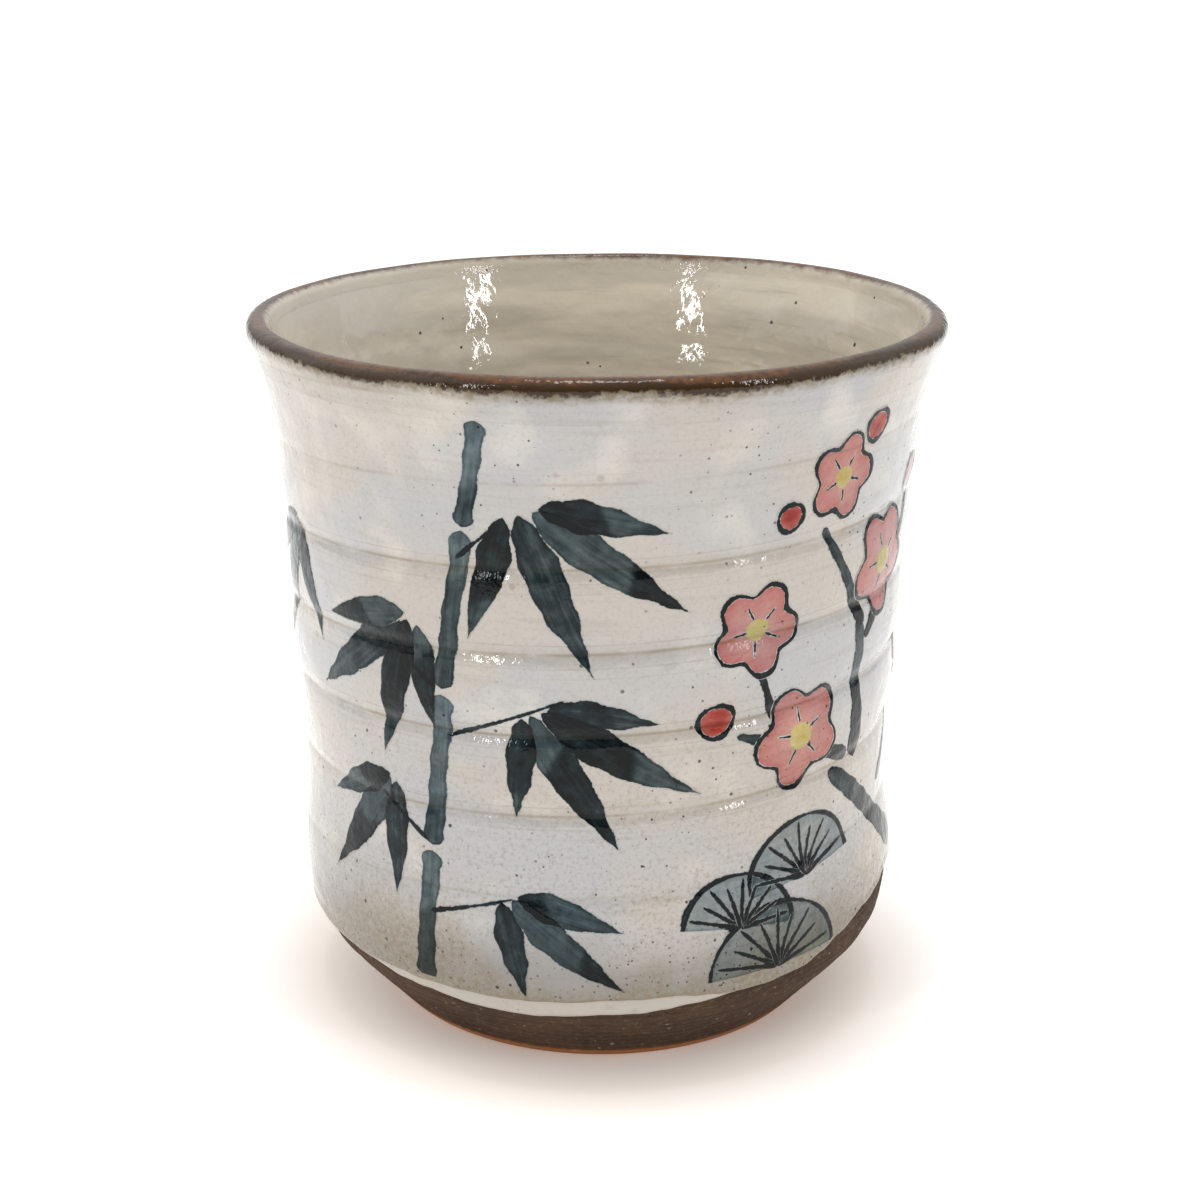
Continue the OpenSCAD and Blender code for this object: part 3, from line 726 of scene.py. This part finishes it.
# Half-widths of a stroke along its length, both as shares
LEAF_HALF = ((0, 0.12), (0.1, 0.32), (0.3, 0.5), (0.6, 0.4), (0.85, 0.16), (1, 0.01))
STROKE_HALF = ((0, 0.42), (0.15, 0.5), (0.5, 0.36), (0.85, 0.34), (1, 0.24))
JOINT_HALF = ((0, 0.56), (0.12, 0.4), (0.5, 0.36), (0.88, 0.4), (1, 0.56))

# Degrees round from the front, height share, lean, size share and curl share
LEAVES = (
    (-9, 0.83, -8, 0.7, -0.06), (-10, 0.825, -38, 1, 0.05), (-12.5, 0.82, -70, 1, 0.06),
    (-15, 0.815, -104, 0.75, -0.06), (-34, 0.67, -172, 0.66, 0.08), (-35, 0.665, -138, 0.95, -0.05),
    (-33.5, 0.66, -108, 0.9, 0.05), (-31.5, 0.655, -84, 0.62, 0), (-8, 0.56, -4, 0.62, -0.08),
    (-9, 0.555, -34, 1, 0.05), (-11, 0.55, -62, 0.95, 0.05), (-12.5, 0.545, -92, 0.62, -0.05),
    (-40, 0.43, -158, 0.62, 0.06), (-40, 0.425, -124, 0.9, -0.05), (-38.5, 0.42, -94, 0.7, 0.05),
    (-14, 0.29, -14, 0.62, -0.06), (-15, 0.285, -44, 0.82, 0.05), (-17, 0.28, -78, 0.6, 0),
    (-66, 0.75, -150, 0.7, 0.06), (-66, 0.745, -112, 0.9, -0.05), (-65, 0.74, -72, 0.7, 0.05))
# Degrees round, height share, lean, length share and width share
JOINTS = ((-33, 0.145, 85, 0.86, 1), (-30.5, 0.345, 83, 1, 1), (-27, 0.575, 80, 1, 0.95),
          (-22, 0.8, 77, 0.66, 0.85))
TWIGS = ((-23.5, 0.755, 40, 0.38, 0.22), (-28.5, 0.575, 142, 0.4, 0.22), (-27, 0.505, 22, 0.8, 0.22),
         (-31.5, 0.35, 146, 0.5, 0.22), (-31, 0.25, 16, 0.56, 0.22))
BRANCHES = (
    (78, 0.235, 138, 1, 1), (57, 0.42, 98, 0.78, 0.82), (54, 0.62, 122, 0.66, 0.55), (55, 0.6, 50, 0.8, 0.5),
    (54, 0.43, 158, 0.8, 0.55), (34, 0.5, 112, 0.6, 0.36), (44, 0.84, 86, 0.2, 0.3),
    (70, 0.35, 44, 0.85, 0.55), (88, 0.52, 70, 0.5, 0.36))
# Degrees round, height share, turn and size share
BLOSSOMS = ((39, 0.49, 10, 1), (28, 0.655, 30, 0.85), (60, 0.7, 20, 1), (44, 0.84, 40, 0.78),
            (88, 0.53, 0, 0.95))
BUDS = ((21, 0.535, 0, 0.95), (51, 0.9, 0, 0.85), (72, 0.8, 0, 1), (33, 0.8, 0, 0.75), (92, 0.7, 0, 0.9))
PADS = ((26, 0.235, -6, 0.8), (41, 0.285, 8, 0.9), (34, 0.165, 2, 1))

# Heights of the dip lines round the cup, as (degrees from the front, millimetres)
SLIP_LINE = (
    (-180, 10.6), (-130, 10.8), (-95, 11.4), (-60, 11.6), (-49, 11.2), (-40, 10.5), (-34, 10.2), (-29, 9.7),
    (-24, 9.25), (-15, 9.4), (0, 9.8), (7, 9.9), (12, 10.4), (18, 11.0), (28, 11.6), (40, 12.1), (46, 12.9),
    (50, 13.9), (60, 15.7), (67, 16.7), (71, 17.4), (95, 17.0), (120, 15.0), (150, 11.8))
GLAZE_LINE = (
    (-180, 13.0), (-130, 12.4), (-95, 12.0), (-60, 12.0), (-49, 11.7), (-40, 12.0), (-34, 11.7), (-23, 11.6),
    (-11, 12.1), (6, 12.3), (13, 12.6), (19, 12.3), (24, 11.8), (30, 11.9), (40, 12.4), (46, 13.2),
    (50, 14.2), (60, 16.0), (67, 17.0), (71, 17.7), (95, 17.4), (120, 16.0), (150, 14.0))
# How far the glaze stays thin above its dip line, in millimetres
THIN_REACH = 2.6


def thin_near(turn, z):
    """1 at the milky glaze's dip line, falling away above it."""
    return np.exp(-np.maximum(z - line_round(turn, GLAZE_LINE), 0) / THIN_REACH)


class Mark:
    """A mark of the brush, with its own level and upward directions on the wall where it begins."""

    def __init__(self, wall, at, lean, number):
        self.wall, self.at, self.number = wall, at, number
        self.turn, self.z, self.lean = math.radians(at[0]), at[1] * wall.height, math.radians(lean)

    def to_wall(self, x, up):
        """Turn and height of points given in the mark's own directions."""
        z = self.z + x * math.sin(self.lean) + up * math.cos(self.lean)
        level = x * math.cos(self.lean) - up * math.sin(self.lean)
        return self.turn + np.arcsin(np.clip(level / self.wall.radius(z), -1, 1)), z

    def from_wall(self, turn, z):
        """Points of the wall in the mark's own directions, and whether they are on its side of the cup."""
        level, up = self.wall.radius(z) * np.sin(turn - self.turn), z - self.z
        return (level * math.cos(self.lean) + up * math.sin(self.lean),
                up * math.cos(self.lean) - level * math.sin(self.lean), np.cos(turn - self.turn) > 0)


class Stroke(Mark):
    """One pull of the brush: it starts at its place, leans, bends, and changes from one load to another."""

    def __init__(self, wall, at, lean, length, half_width, width, curl, loads, number):
        super().__init__(wall, at, lean, number)
        self.length, self.curl, self.loads = length, curl, loads
        self.stations = np.array([s for s, _ in half_width]) * length
        self.halves = np.array([w for _, w in half_width]) * width
        across = 2 * (self.halves.max() + FILM_MARGIN)
        self.grid = (max(8, int(length / FILM_STEP)), max(6, int(across / FILM_STEP)))

    def half(self, along):
        """Half the stroke's width at a distance along it, rounded off at both ends."""
        t = np.clip(along, 0, self.length)
        at = np.clip(np.searchsorted(self.stations, t, side="right") - 1, 0, len(self.stations) - 2)
        straight = (t - self.stations[at]) / (self.stations[at + 1] - self.stations[at])
        share = (rise(straight) + straight) / 2
        half = self.halves[at] * (1 - share) + self.halves[at + 1] * share
        near = np.minimum(t, self.length - t) / np.maximum(half, 0.05)
        half = half * np.sqrt(1 - (1 - np.clip(near, 0, 1)) ** 2)
        return half + 0.09 * np.sin(t * 1.7 + self.number * 2.3) * np.clip(half, 0, 1)

    def inside(self, along, across, half):
        """Distance inside the stroke's edge."""
        return np.minimum(half - np.abs(across), np.minimum(along, self.length - along) + 0.2)

    def load(self, along, across):
        """How full the brush is: the second load begins at a slanting line partway along."""
        change = self.length * (0.5 + 0.22 * math.sin(2.4 * self.number))
        share = rise(along + 0.5 * across - change, -0.65, 0.65)
        return self.loads[0] + (self.loads[1] - self.loads[0]) * share

    def place(self, u, v):
        """Turn, height, distance inside the edge, load, and the way along and across, over the grid."""
        along = u * (self.length + 2 * FILM_MARGIN) - FILM_MARGIN
        half = self.half(along)
        across = (2 * v - 1) * (half + FILM_MARGIN)
        turn, z = self.to_wall(along, across + self.curl * along * along / self.length)
        return turn, z, self.inside(along, across, half), self.load(along, across), along, across

    def seen_from(self, turn, z):
        """Distance inside the stroke's edge, and its load, at points of the wall."""
        along, up, facing = self.from_wall(turn, z)
        across = up - self.curl * along * along / self.length
        edge = self.inside(along, across, self.half(along))
        return np.where(facing, edge, FAR_OUT), self.load(along, across)


class Spot(Mark):
    """A wash laid round its place: reach gives how far it goes in each direction, in sizes."""

    def __init__(self, wall, at, lean, size, reach, loads, number, sweep=2 * math.pi):
        super().__init__(wall, at, lean, number)
        self.size, self.reach, self.loads, self.sweep = size, reach, loads, sweep
        across = 2 * size * float(reach(np.array(0.3)))
        self.grid = (max(24, int(3 * across / FILM_STEP)), max(5, int(across / 2 / FILM_STEP)))

    def inside(self, a, r):
        """Distance inside the wash's edge, which is straight below if it does not go all round."""
        edge = self.size * self.reach(a) - r
        return edge if self.sweep > math.pi else np.minimum(edge, r * np.sin(a) + 0.12)

    def load(self, a, r):
        """How full the brush is: one load in the middle, and another towards the edge."""
        far = self.size * self.reach(a)
        return self.loads[0] + (self.loads[1] - self.loads[0]) * np.clip(r / far, 0, 1) ** 2

    def place(self, u, v):
        """Turn, height, distance inside the edge, load, and the way along and across, over the grid."""
        a = u * self.sweep
        r = v * (self.size * self.reach(a) + FILM_MARGIN)
        x, up = r * np.cos(a), r * np.sin(a)
        return *self.to_wall(x, up), self.inside(a, r), self.load(a, r), 2 * x, up

    def seen_from(self, turn, z):
        """Distance inside the wash's edge, and its load, at points of the wall."""
        x, up, facing = self.from_wall(turn, z)
        a, r = np.arctan2(up, x), np.hypot(x, up)
        return np.where(facing, self.inside(a, r), FAR_OUT), self.load(a, r)


class Outline(Spot):
    """A thin line of the brush tip along the edge of a wash."""

    def __init__(self, spot, half_width, load, number):
        super().__init__(spot.wall, spot.at, math.degrees(spot.lean), spot.size, spot.reach, spot.loads,
                         number, spot.sweep)
        self.half_width, self.line_load = half_width, load
        self.grid = (self.grid[0], 6)

    def place(self, u, v):
        """Turn, height, distance inside the edge, load, and the way along and across, over the grid."""
        a = u * self.sweep
        uneven = 0.22 * np.sin(3 * a + self.number) + 0.14 * np.sin(7 * a + 2 * self.number)
        half = self.half_width * (1 + uneven)
        across = (2 * v - 1) * (half + FILM_MARGIN)
        r = self.size * self.reach(a) + across
        turn, z = self.to_wall(r * np.cos(a), r * np.sin(a))
        return turn, z, half - np.abs(across), self.line_load, r * a, across

    def seen_from(self, turn, z):
        """Distance inside the line's edge, and its load, at points of the wall."""
        edge, _ = super().seen_from(turn, z)
        return self.half_width - np.abs(edge), self.line_load


def paint(name, marks, height, below=(), step=0.006, cycle=5):
    """Makes one piece of several marks, each a film on the glaze at a height in millimetres, with its border
    sunk in the glaze. Each film lies a step higher than the one before, so that they cross cleanly."""
    parts = []
    for count, mark in enumerate(marks):
        bpy.ops.object.select_all(action="DESELECT")
        bpy.ops.mesh.primitive_grid_add(x_subdivisions=mark.grid[0], y_subdivisions=mark.grid[1], size=1)
        part = bpy.context.object
        u, v, _ = points_of(part) * MM + 0.5
        turn, z, edge, load, along, across = mark.place(u, v)
        over, over_load = np.full(u.shape, FAR_OUT), np.zeros(u.shape)
        for other in list(below) + marks[:count]:
            inside, other_load = other.seen_from(turn, z)
            over_load = np.where(inside > over, other_load, over_load)
            over = np.maximum(over, inside)
        film = (height + step * (count % cycle) + FILM_ROOT) * rise(edge, -FILM_MARGIN, 0) - FILM_ROOT
        r = mark.wall.radius(z) + film
        move_points(part, *mark.wall.by_hand(r * np.sin(turn), -r * np.cos(turn), z))
        # The numbers set each mark's hair streaks apart from the others'
        write(part, edge=edge, load=load, under=over, under_load=over_load, along=along + 50 * mark.number,
              across=across + 7 * mark.number, thin=thin_near(turn, z))
        edit_all(part, bpy.ops.mesh.remove_doubles, threshold=SAME_POINT * MM)
        face_out(part)
        parts.append(part)
    choose(parts)
    if len(parts) > 1:
        bpy.ops.object.join()
    piece = parts[0]
    piece.name = piece.data.name = name
    thicken(piece, 2 * FILM_ROOT)
    return piece


def petal_reach(a):
    """Outline of a five-petalled blossom of unit radius."""
    return 1 - NOTCH * np.abs(np.cos(PETALS * a / 2)) ** 3


def round_reach(a):
    """Outline of a dot of unit radius, pressed down by hand."""
    return 1 + 0.05 * np.sin(2 * a + 1) + 0.03 * np.sin(3 * a)


def pad_reach(a):
    """Outline of the upper half of a flat pad, in millimetres."""
    return 1 / np.sqrt(np.cos(a) ** 2 / (PAD_WIDTH / 2) ** 2 + np.sin(a) ** 2 / PAD_HEIGHT ** 2)


def strokes(wall, places, length, half_width, width, curl, loads, first):
    """A stroke at each place, numbered from the first."""
    return [Stroke(wall, p[:2], p[2], length * p[3], half_width, width * p[4], curl, loads, first + i)
            for i, p in enumerate(places)]


def dots(wall, places, width):
    """A round dot at each place."""
    return [Spot(wall, p[:2], 0, width / 2 * p[3], round_reach, DOT_LOADS, i) for i, p in enumerate(places)]


def brushwork(context):
    """The wall, and the function that paints a piece of brushwork on it and hands it over."""
    wall, finish = Wall(context.scene.yunomi_shape), context.scene.yunomi_finish

    def brush(name, marks, layer, pigment, tints, slot, *nodes, spread=0.16, **crossing):
        piece = paint(name, marks, layer, **crossing)
        hand_over(piece, pigment_material(pigment, wall, finish, tints, spread), slot, *nodes)

    return wall, brush


# Points across the turned recess, and the tool's marks on the foot as waves: depth in millimetres, how fast
# they follow each other, and phase
RECESS_POINTS = 26
TURNING_MARKS = ((0.05, 5.1, 0), (0.035, 8.3, 1), (0.03, 2.2, 2))


class YUNOMI_OT_clay(bpy.types.Operator):
    """Throws and turns the stoneware pot: wall, bowl, hip, foot ring and recess"""
    bl_idname = "yunomi.clay"
    bl_label = "Throw the pot"

    def execute(self, context):
        wall = Wall(context.scene.yunomi_shape)
        recess, dish, ring = wall.recess, wall.dish, wall.recess_r
        # The turning tool leaves shallow steps in the recess
        share = np.linspace(0, 1, RECESS_POINTS)
        cut = 0.05 * np.sin(share * RECESS_POINTS * math.pi / 2) * (1 - share)
        under = np.stack([(ring - recess) * share, recess - dish * (1 - share ** 2) + cut], 1)
        edges = [[ring - 1.4, recess - 0.7], [ring - wall.bevel, wall.bevel], [ring - 0.1, 0.12],
                 [ring + 0.25, 0], [wall.foot_r - 0.2, 0], [wall.foot_r + 0.12, 0.1]]
        side = wall.sunk(wall.coats)
        far = distances(side)[-1]
        # Fine steps where the clay shows, coarser ones under the coats
        steps = np.concatenate([np.arange(0, 24, 0.3), np.arange(24, far, 1.0), [far]])
        path = points_along(side, steps)
        path[-1, 0] = 0
        turning = sum(depth * np.sin(steps * rate + phase) for depth, rate, phase in TURNING_MARKS)
        path[:, 0] += np.where(steps < 20, turning * rise(steps, 0, 1.5), 0)
        piece = turned("thrown_pot", np.concatenate([under, edges, path]))
        move_points(piece, *wall.by_hand(*points_of(piece)))
        bpy.ops.object.shade_smooth_by_angle(angle=SMOOTH_ANGLE)
        hand_over(piece, clay_material(context.scene.yunomi_finish), "bare_clay", "clay_body")
        return {"FINISHED"}


# Rounding of a coat's cut edges, how far the liner stays off the clay, and steps down the band and the liner
COAT_EDGE, LINER_CLEARANCE, BAND_STEPS, LINER_STEPS = 0.06, 0.02, 34, 126


def coat(name, wall, depth, line, steps, thickness):
    """A coat dipped over the outside: turned as a sleeve, laid from its dip line to the band, and thrown as
    the pot is, with a bead along its lower edge."""
    low, high = steps[0], steps[-1]
    piece = turned(name, np.stack([wall.radius(steps, depth), steps], 1))
    x, y, z = points_of(piece)
    turn = np.arctan2(x, -y)
    edge = line_round(turn, line)
    z = edge + (z - low) / (high - low) * (high - edge)
    above = z - edge
    bead = 0.10 * np.exp(-((above - 0.55) / 0.45) ** 2) - 0.14 * np.exp(-(above / 0.22) ** 2)
    r = wall.radius(z, depth) + bead
    move_points(piece, *wall.by_hand(r * np.sin(turn), -r * np.cos(turn), z))
    write(piece, thin=thin_near(turn, z))
    face_out(piece)
    thicken(piece, thickness, COAT_EDGE)
    return piece


class YUNOMI_OT_coats(bpy.types.Operator):
    """Dips the pot in white slip and in milky glaze, each up to its own wavering line"""
    bl_idname = "yunomi.coats"
    bl_label = "Dip slip and glaze"

    def execute(self, context):
        wall, finish = Wall(context.scene.yunomi_shape), context.scene.yunomi_finish
        top = wall.height - BAND_REACH
        steps = graded(10, top - 0.4, first=0.12, growth=1.12, most=1.2)
        slip = coat("slip_coat", wall, wall.glaze, SLIP_LINE, steps, wall.slip)
        hand_over(slip, slip_material(finish), "white_slip", "white_slip")
        steps = graded(12, top, first=0.10, growth=1.1, most=0.46)
        glaze = coat("milky_glaze_coat", wall, 0.0, GLAZE_LINE, steps, wall.glaze)
        hand_over(glaze, glaze_material(wall, finish), "milky_glaze", "outer_glaze")
        return {"FINISHED"}


class YUNOMI_OT_lip(bpy.types.Operator):
    """Wipes the iron-brown band over the lip"""
    bl_idname = "yunomi.lip"
    bl_label = "Band the lip"

    def execute(self, context):
        wall = Wall(context.scene.yunomi_shape)
        low = wall.height - BAND_REACH
        path = wall.line[np.searchsorted(wall.outside_z, low):wall.band_end() + 1].copy()
        path[0] = [wall.radius(low), low]
        piece = turned("iron_lip_band", points_along(path, np.linspace(0, distances(path)[-1], BAND_STEPS)))
        move_points(piece, *wall.by_hand(*points_of(piece)))
        face_out(piece)
        thicken(piece, wall.coats)
        hand_over(piece, lip_material(wall, context.scene.yunomi_finish), "iron_glaze", "rim_iron_band")
        return {"FINISHED"}


class YUNOMI_OT_liner(bpy.types.Operator):
    """Pours the liner glaze round the bowl"""
    bl_idname = "yunomi.liner"
    bl_label = "Line the bowl"

    def execute(self, context):
        wall = Wall(context.scene.yunomi_shape)
        path = wall.line[wall.band_end():]
        profile = points_along(path, np.linspace(0, distances(path)[-1], LINER_STEPS))
        profile[-1, 0] = 0
        piece = turned("bowl_liner", profile)
        move_points(piece, *wall.by_hand(*points_of(piece)))
        face_out(piece, -1)
        thicken(piece, wall.coats - LINER_CLEARANCE)
        hand_over(piece, liner_material(context.scene.yunomi_finish), "liner_glaze", "inner_glaze")
        return {"FINISHED"}


class YUNOMI_OT_bamboo(bpy.types.Operator):
    """Paints the bamboo: jointed stalk, twigs and leaves"""
    bl_idname = "yunomi.bamboo"
    bl_label = "Paint the bamboo"

    def execute(self, context):
        wall, brush = brushwork(context)
        stalk = strokes(wall, JOINTS, JOINT_LENGTH, JOINT_HALF, STALK_WIDTH, 0.0, JOINT_LOADS, 30)
        stalk += strokes(wall, TWIGS, JOINT_LENGTH, STROKE_HALF, STALK_WIDTH, 0.02, TWIG_LOADS, 40)
        brush("bamboo_stalk_strokes", stalk, FIRST_LAYER, "stalk_indigo", INDIGO, "pale_indigo",
              "bamboo_stalk")
        leaves = [Stroke(wall, p[:2], p[2], LEAF_LENGTH * p[3], LEAF_HALF, LEAF_WIDTH * math.sqrt(p[3]), p[4],
                         LEAF_LOADS[i % len(LEAF_LOADS)], i) for i, p in enumerate(LEAVES)]
        brush("bamboo_leaf_strokes", leaves, SECOND_LAYER, "leaf_indigo", INDIGO, "dark_indigo",
              "bamboo_leaves", below=stalk)
        return {"FINISHED"}


class YUNOMI_OT_plum(bpy.types.Operator):
    """Paints the plum: branch, blossoms with yellow hearts, red buds, and the thin lines round them"""
    bl_idname = "yunomi.plum"
    bl_label = "Paint the plum"

    def execute(self, context):
        wall, brush = brushwork(context)
        branch = strokes(wall, BRANCHES, BRANCH_LENGTH, STROKE_HALF, BRANCH_WIDTH, 0.02, BRANCH_LOADS, 50)
        brush("plum_branch_strokes", branch, FIRST_LAYER, "branch_indigo", INDIGO, "branch_indigo",
              "plum_branch")
        petals = [Spot(wall, p[:2], p[2], BLOSSOM_WIDTH / 2 * p[3], petal_reach, PETAL_LOADS, i)
                  for i, p in enumerate(BLOSSOMS)]
        brush("plum_petal_washes", petals, SECOND_LAYER, "petal_pink", PINK, "pink_pigment", "plum_petals")
        hearts, buds = dots(wall, BLOSSOMS, HEART_WIDTH), dots(wall, BUDS, BUD_WIDTH)
        brush("plum_heart_dots", hearts, THIRD_LAYER, "heart_yellow", YELLOW, "yellow_pigment", "plum_hearts")
        brush("plum_bud_dots", buds, THIRD_LAYER, "bud_red", RED, "red_pigment", "plum_buds")
        lines = [Outline(spot, OUTLINE_HALF, OUTLINE_LOAD, i) for i, spot in enumerate(petals + buds)]
        for i, (turn, share, lean, size) in enumerate(BLOSSOMS):
            for k in range(STAMENS):
                start = HEART_WIDTH / 2 * size
                a = math.radians(360 * k / STAMENS + lean + 18)
                at = (turn + math.degrees(start * math.cos(a) / wall.rim_r),
                      share + start * math.sin(a) / wall.height)
                lines.append(Stroke(wall, at, math.degrees(a), STAMEN_LENGTH * size, STROKE_HALF,
                                    STAMEN_WIDTH, 0.0, STAMEN_LOADS, 20 + k + 3 * i))
        brush("plum_line_strokes", lines, FOURTH_LAYER, "line_indigo", INDIGO, "branch_indigo", spread=0.1)
        return {"FINISHED"}


class YUNOMI_OT_pine(bpy.types.Operator):
    """Paints the pine: grey washes with fans of dark needles"""
    bl_idname = "yunomi.pine"
    bl_label = "Paint the pine"

    def execute(self, context):
        wall, brush = brushwork(context)
        pads = [Spot(wall, p[:2], p[2], p[3], pad_reach, PAD_LOADS, i, math.pi) for i, p in enumerate(PADS)]
        brush("pine_pad_washes", pads, FIRST_LAYER, "pine_grey", INDIGO, "grey_wash", "pine_wash")
        needles = [Outline(pad, PAD_OUTLINE_HALF, PAD_OUTLINE_LOAD, i) for i, pad in enumerate(pads)]
        for turn, share, lean, size in PADS:
            for i in range(NEEDLES):
                a = 12 + 156 * i / (NEEDLES - 1)
                reach = size * float(pad_reach(math.radians(a))) * (0.8 if i % 2 else 0.92)
                curl = 0.03 if i > NEEDLES / 2 else -0.03
                needles.append(Stroke(wall, (turn, share), lean + a, reach, STROKE_HALF, NEEDLE_WIDTH, curl,
                                      NEEDLE_LOADS, 70 + len(needles)))
        brush("pine_needle_strokes", needles, SECOND_LAYER, "needle_indigo", INDIGO, "branch_indigo",
              below=pads, step=0.004, cycle=9)
        return {"FINISHED"}


# The tent's brightness near the table and overhead, and how much it changes across and from front to back, as
# shares of its setting
TENT_LOW, TENT_HIGH, TENT_LEFT, TENT_BACK = 0.3, 1.45, 0.15, 0.35
# The overhead softbox: width and height over the table, in metres
TOP_WIDTH, TOP_HEIGHT = 0.42, 1.5
# Each standing softbox: name, degrees from the camera's side, distance, width, height and height of its
# middle in metres, and its power as a share of a strip's
STANDING_BOXES = (
    ("left_strip", -40, 0.9, 0.045, 0.6, 0.45, 1), ("right_strip", 52, 0.9, 0.05, 0.6, 0.45, 1),
    ("left_softbox", -88, 0.8, 1.0, 1.0, 0.55, 0.95), ("right_softbox", 88, 0.8, 1.0, 1.0, 0.55, 0.7))
# Width of the floor in metres and of the camera's sensor in millimetres
FLOOR_WIDTH, SENSOR_WIDTH = 40, 36


class YUNOMI_OT_stage(bpy.types.Operator):
    """Sets the pale floor, the tent light, the softboxes and the camera"""
    bl_idname = "yunomi.stage"
    bl_label = "Set the stage"

    def execute(self, context):
        scene, stage = context.scene, context.scene.yunomi_stage
        bpy.ops.object.select_all(action="DESELECT")
        bpy.ops.mesh.primitive_grid_add(x_subdivisions=8, y_subdivisions=8, size=FLOOR_WIDTH)
        floor = context.object
        floor.name = floor.data.name = "pale_floor"
        # Matt paper, with painted warm light close round the foot, standing in for the light that the brown
        # clay throws back into the shadow
        material, add = blank("matt_paper")
        place = add("TexCoord", out="Object")
        # Painted warm light: the paper's colour is warmer within about 50 mm of the cup's axis
        near = add(EASE, radius_of(add, place), 50, 32)
        base = add(LAY, near, linear("#fdfcfa"), linear("#fdf1e7"))
        put_out(add, base, 0.9, grain(add, place, size=1.5), 0.02, glow=stage.table_glow)
        floor.data.materials.append(material)

        scene.world = bpy.data.worlds.new("white_tent")
        scene.world.use_nodes = True
        tree = scene.world.node_tree
        backdrop = tree.nodes["Background"]
        backdrop.inputs["Color"].default_value = (1, 1, 1, 1)
        # The tent is dimmer near the table than overhead, brightest on the left and dimmest behind the camera
        add = partial(add_node, tree)
        x, y, z = add("SeparateXYZ", add("TexCoord", out="Generated"), out=("X", "Y", "Z"))
        up = add("MapRange", z, 0, 1, stage.tent * TENT_LOW, stage.tent * TENT_HIGH)
        sideways = add(TIMES_PLUS, y, TENT_BACK, add(TIMES_PLUS, x, -TENT_LEFT, 1.0))
        # Seen directly it is plain white
        strength = add(GREATER, add(TIMES, up, sideways), add("LightPath", out="Is Camera Ray"))
        tree.links.new(strength, backdrop.inputs["Strength"])

        # A softbox hangs overhead, thin strips stand beside the camera, and wide softboxes stand at the sides
        boxes = [("top_softbox", (0, 0, TOP_HEIGHT), (0, 0, 0), (TOP_WIDTH, TOP_WIDTH), stage.top_power)]
        for name, turn, distance, wide, tall, centre_z, share in STANDING_BOXES:
            a, aim = math.radians(turn), math.atan2(centre_z - CUP_HEIGHT / 2, distance)
            boxes.append((name, (distance * math.sin(a), -distance * math.cos(a), centre_z),
                          (math.pi / 2 - aim, 0, a), (wide, tall), share * stage.strip_power))
        for name, at, facing, size, power in boxes:
            bpy.ops.object.light_add(type="AREA", location=at, rotation=facing)
            box = context.object
            box.name = name
            box.data.shape, box.data.size, box.data.size_y = "RECTANGLE", *size
            box.data.energy = power

        bpy.ops.object.camera_add(location=(0, -stage.camera_back, stage.camera_height),
                                  rotation=(math.pi / 2 - stage.camera_pitch, stage.camera_roll, 0))
        scene.camera = context.object
        scene.camera.name = "front_camera"
        scene.camera.data.lens, scene.camera.data.sensor_width = stage.lens, SENSOR_WIDTH
        scene.view_settings.view_transform = "Standard"
        return {"FINISHED"}


class YUNOMI_PT_cup(bpy.types.Panel):
    """Lists the steps of making the cup"""
    bl_idname = "YUNOMI_PT_cup"
    bl_label = "Yunomi Tea Cup"
    bl_space_type = "VIEW_3D"
    bl_region_type = "UI"
    bl_category = "Tea Cup"

    def draw(self, context):
        for step in STEPS:
            self.layout.operator(step.bl_idname)
        for group in (context.scene.yunomi_shape, context.scene.yunomi_finish, context.scene.yunomi_stage):
            box = self.layout.box()
            for key in group.bl_rna.properties.keys():
                if key not in ("rna_type", "name"):
                    box.prop(group, key)


GROUPS = (YunomiShape, YunomiFinish, YunomiStage)
STEPS = (YUNOMI_OT_stage, YUNOMI_OT_clay, YUNOMI_OT_coats, YUNOMI_OT_lip, YUNOMI_OT_liner, YUNOMI_OT_bamboo,
         YUNOMI_OT_plum, YUNOMI_OT_pine)


def register():
    for kind in GROUPS + STEPS + (YUNOMI_PT_cup,):
        bpy.utils.register_class(kind)
    bpy.types.Scene.yunomi_shape = bpy.props.PointerProperty(type=YunomiShape)
    bpy.types.Scene.yunomi_finish = bpy.props.PointerProperty(type=YunomiFinish)
    bpy.types.Scene.yunomi_stage = bpy.props.PointerProperty(type=YunomiStage)


def unregister():
    del bpy.types.Scene.yunomi_shape, bpy.types.Scene.yunomi_finish, bpy.types.Scene.yunomi_stage
    for kind in reversed(GROUPS + STEPS + (YUNOMI_PT_cup,)):
        bpy.utils.unregister_class(kind)


def main():
    """Makes the whole cup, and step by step."""
    register()
    for step in STEPS:
        group, name = step.bl_idname.split(".")
        getattr(getattr(bpy.ops, group), name)()


if __name__ == "__main__":
    main()
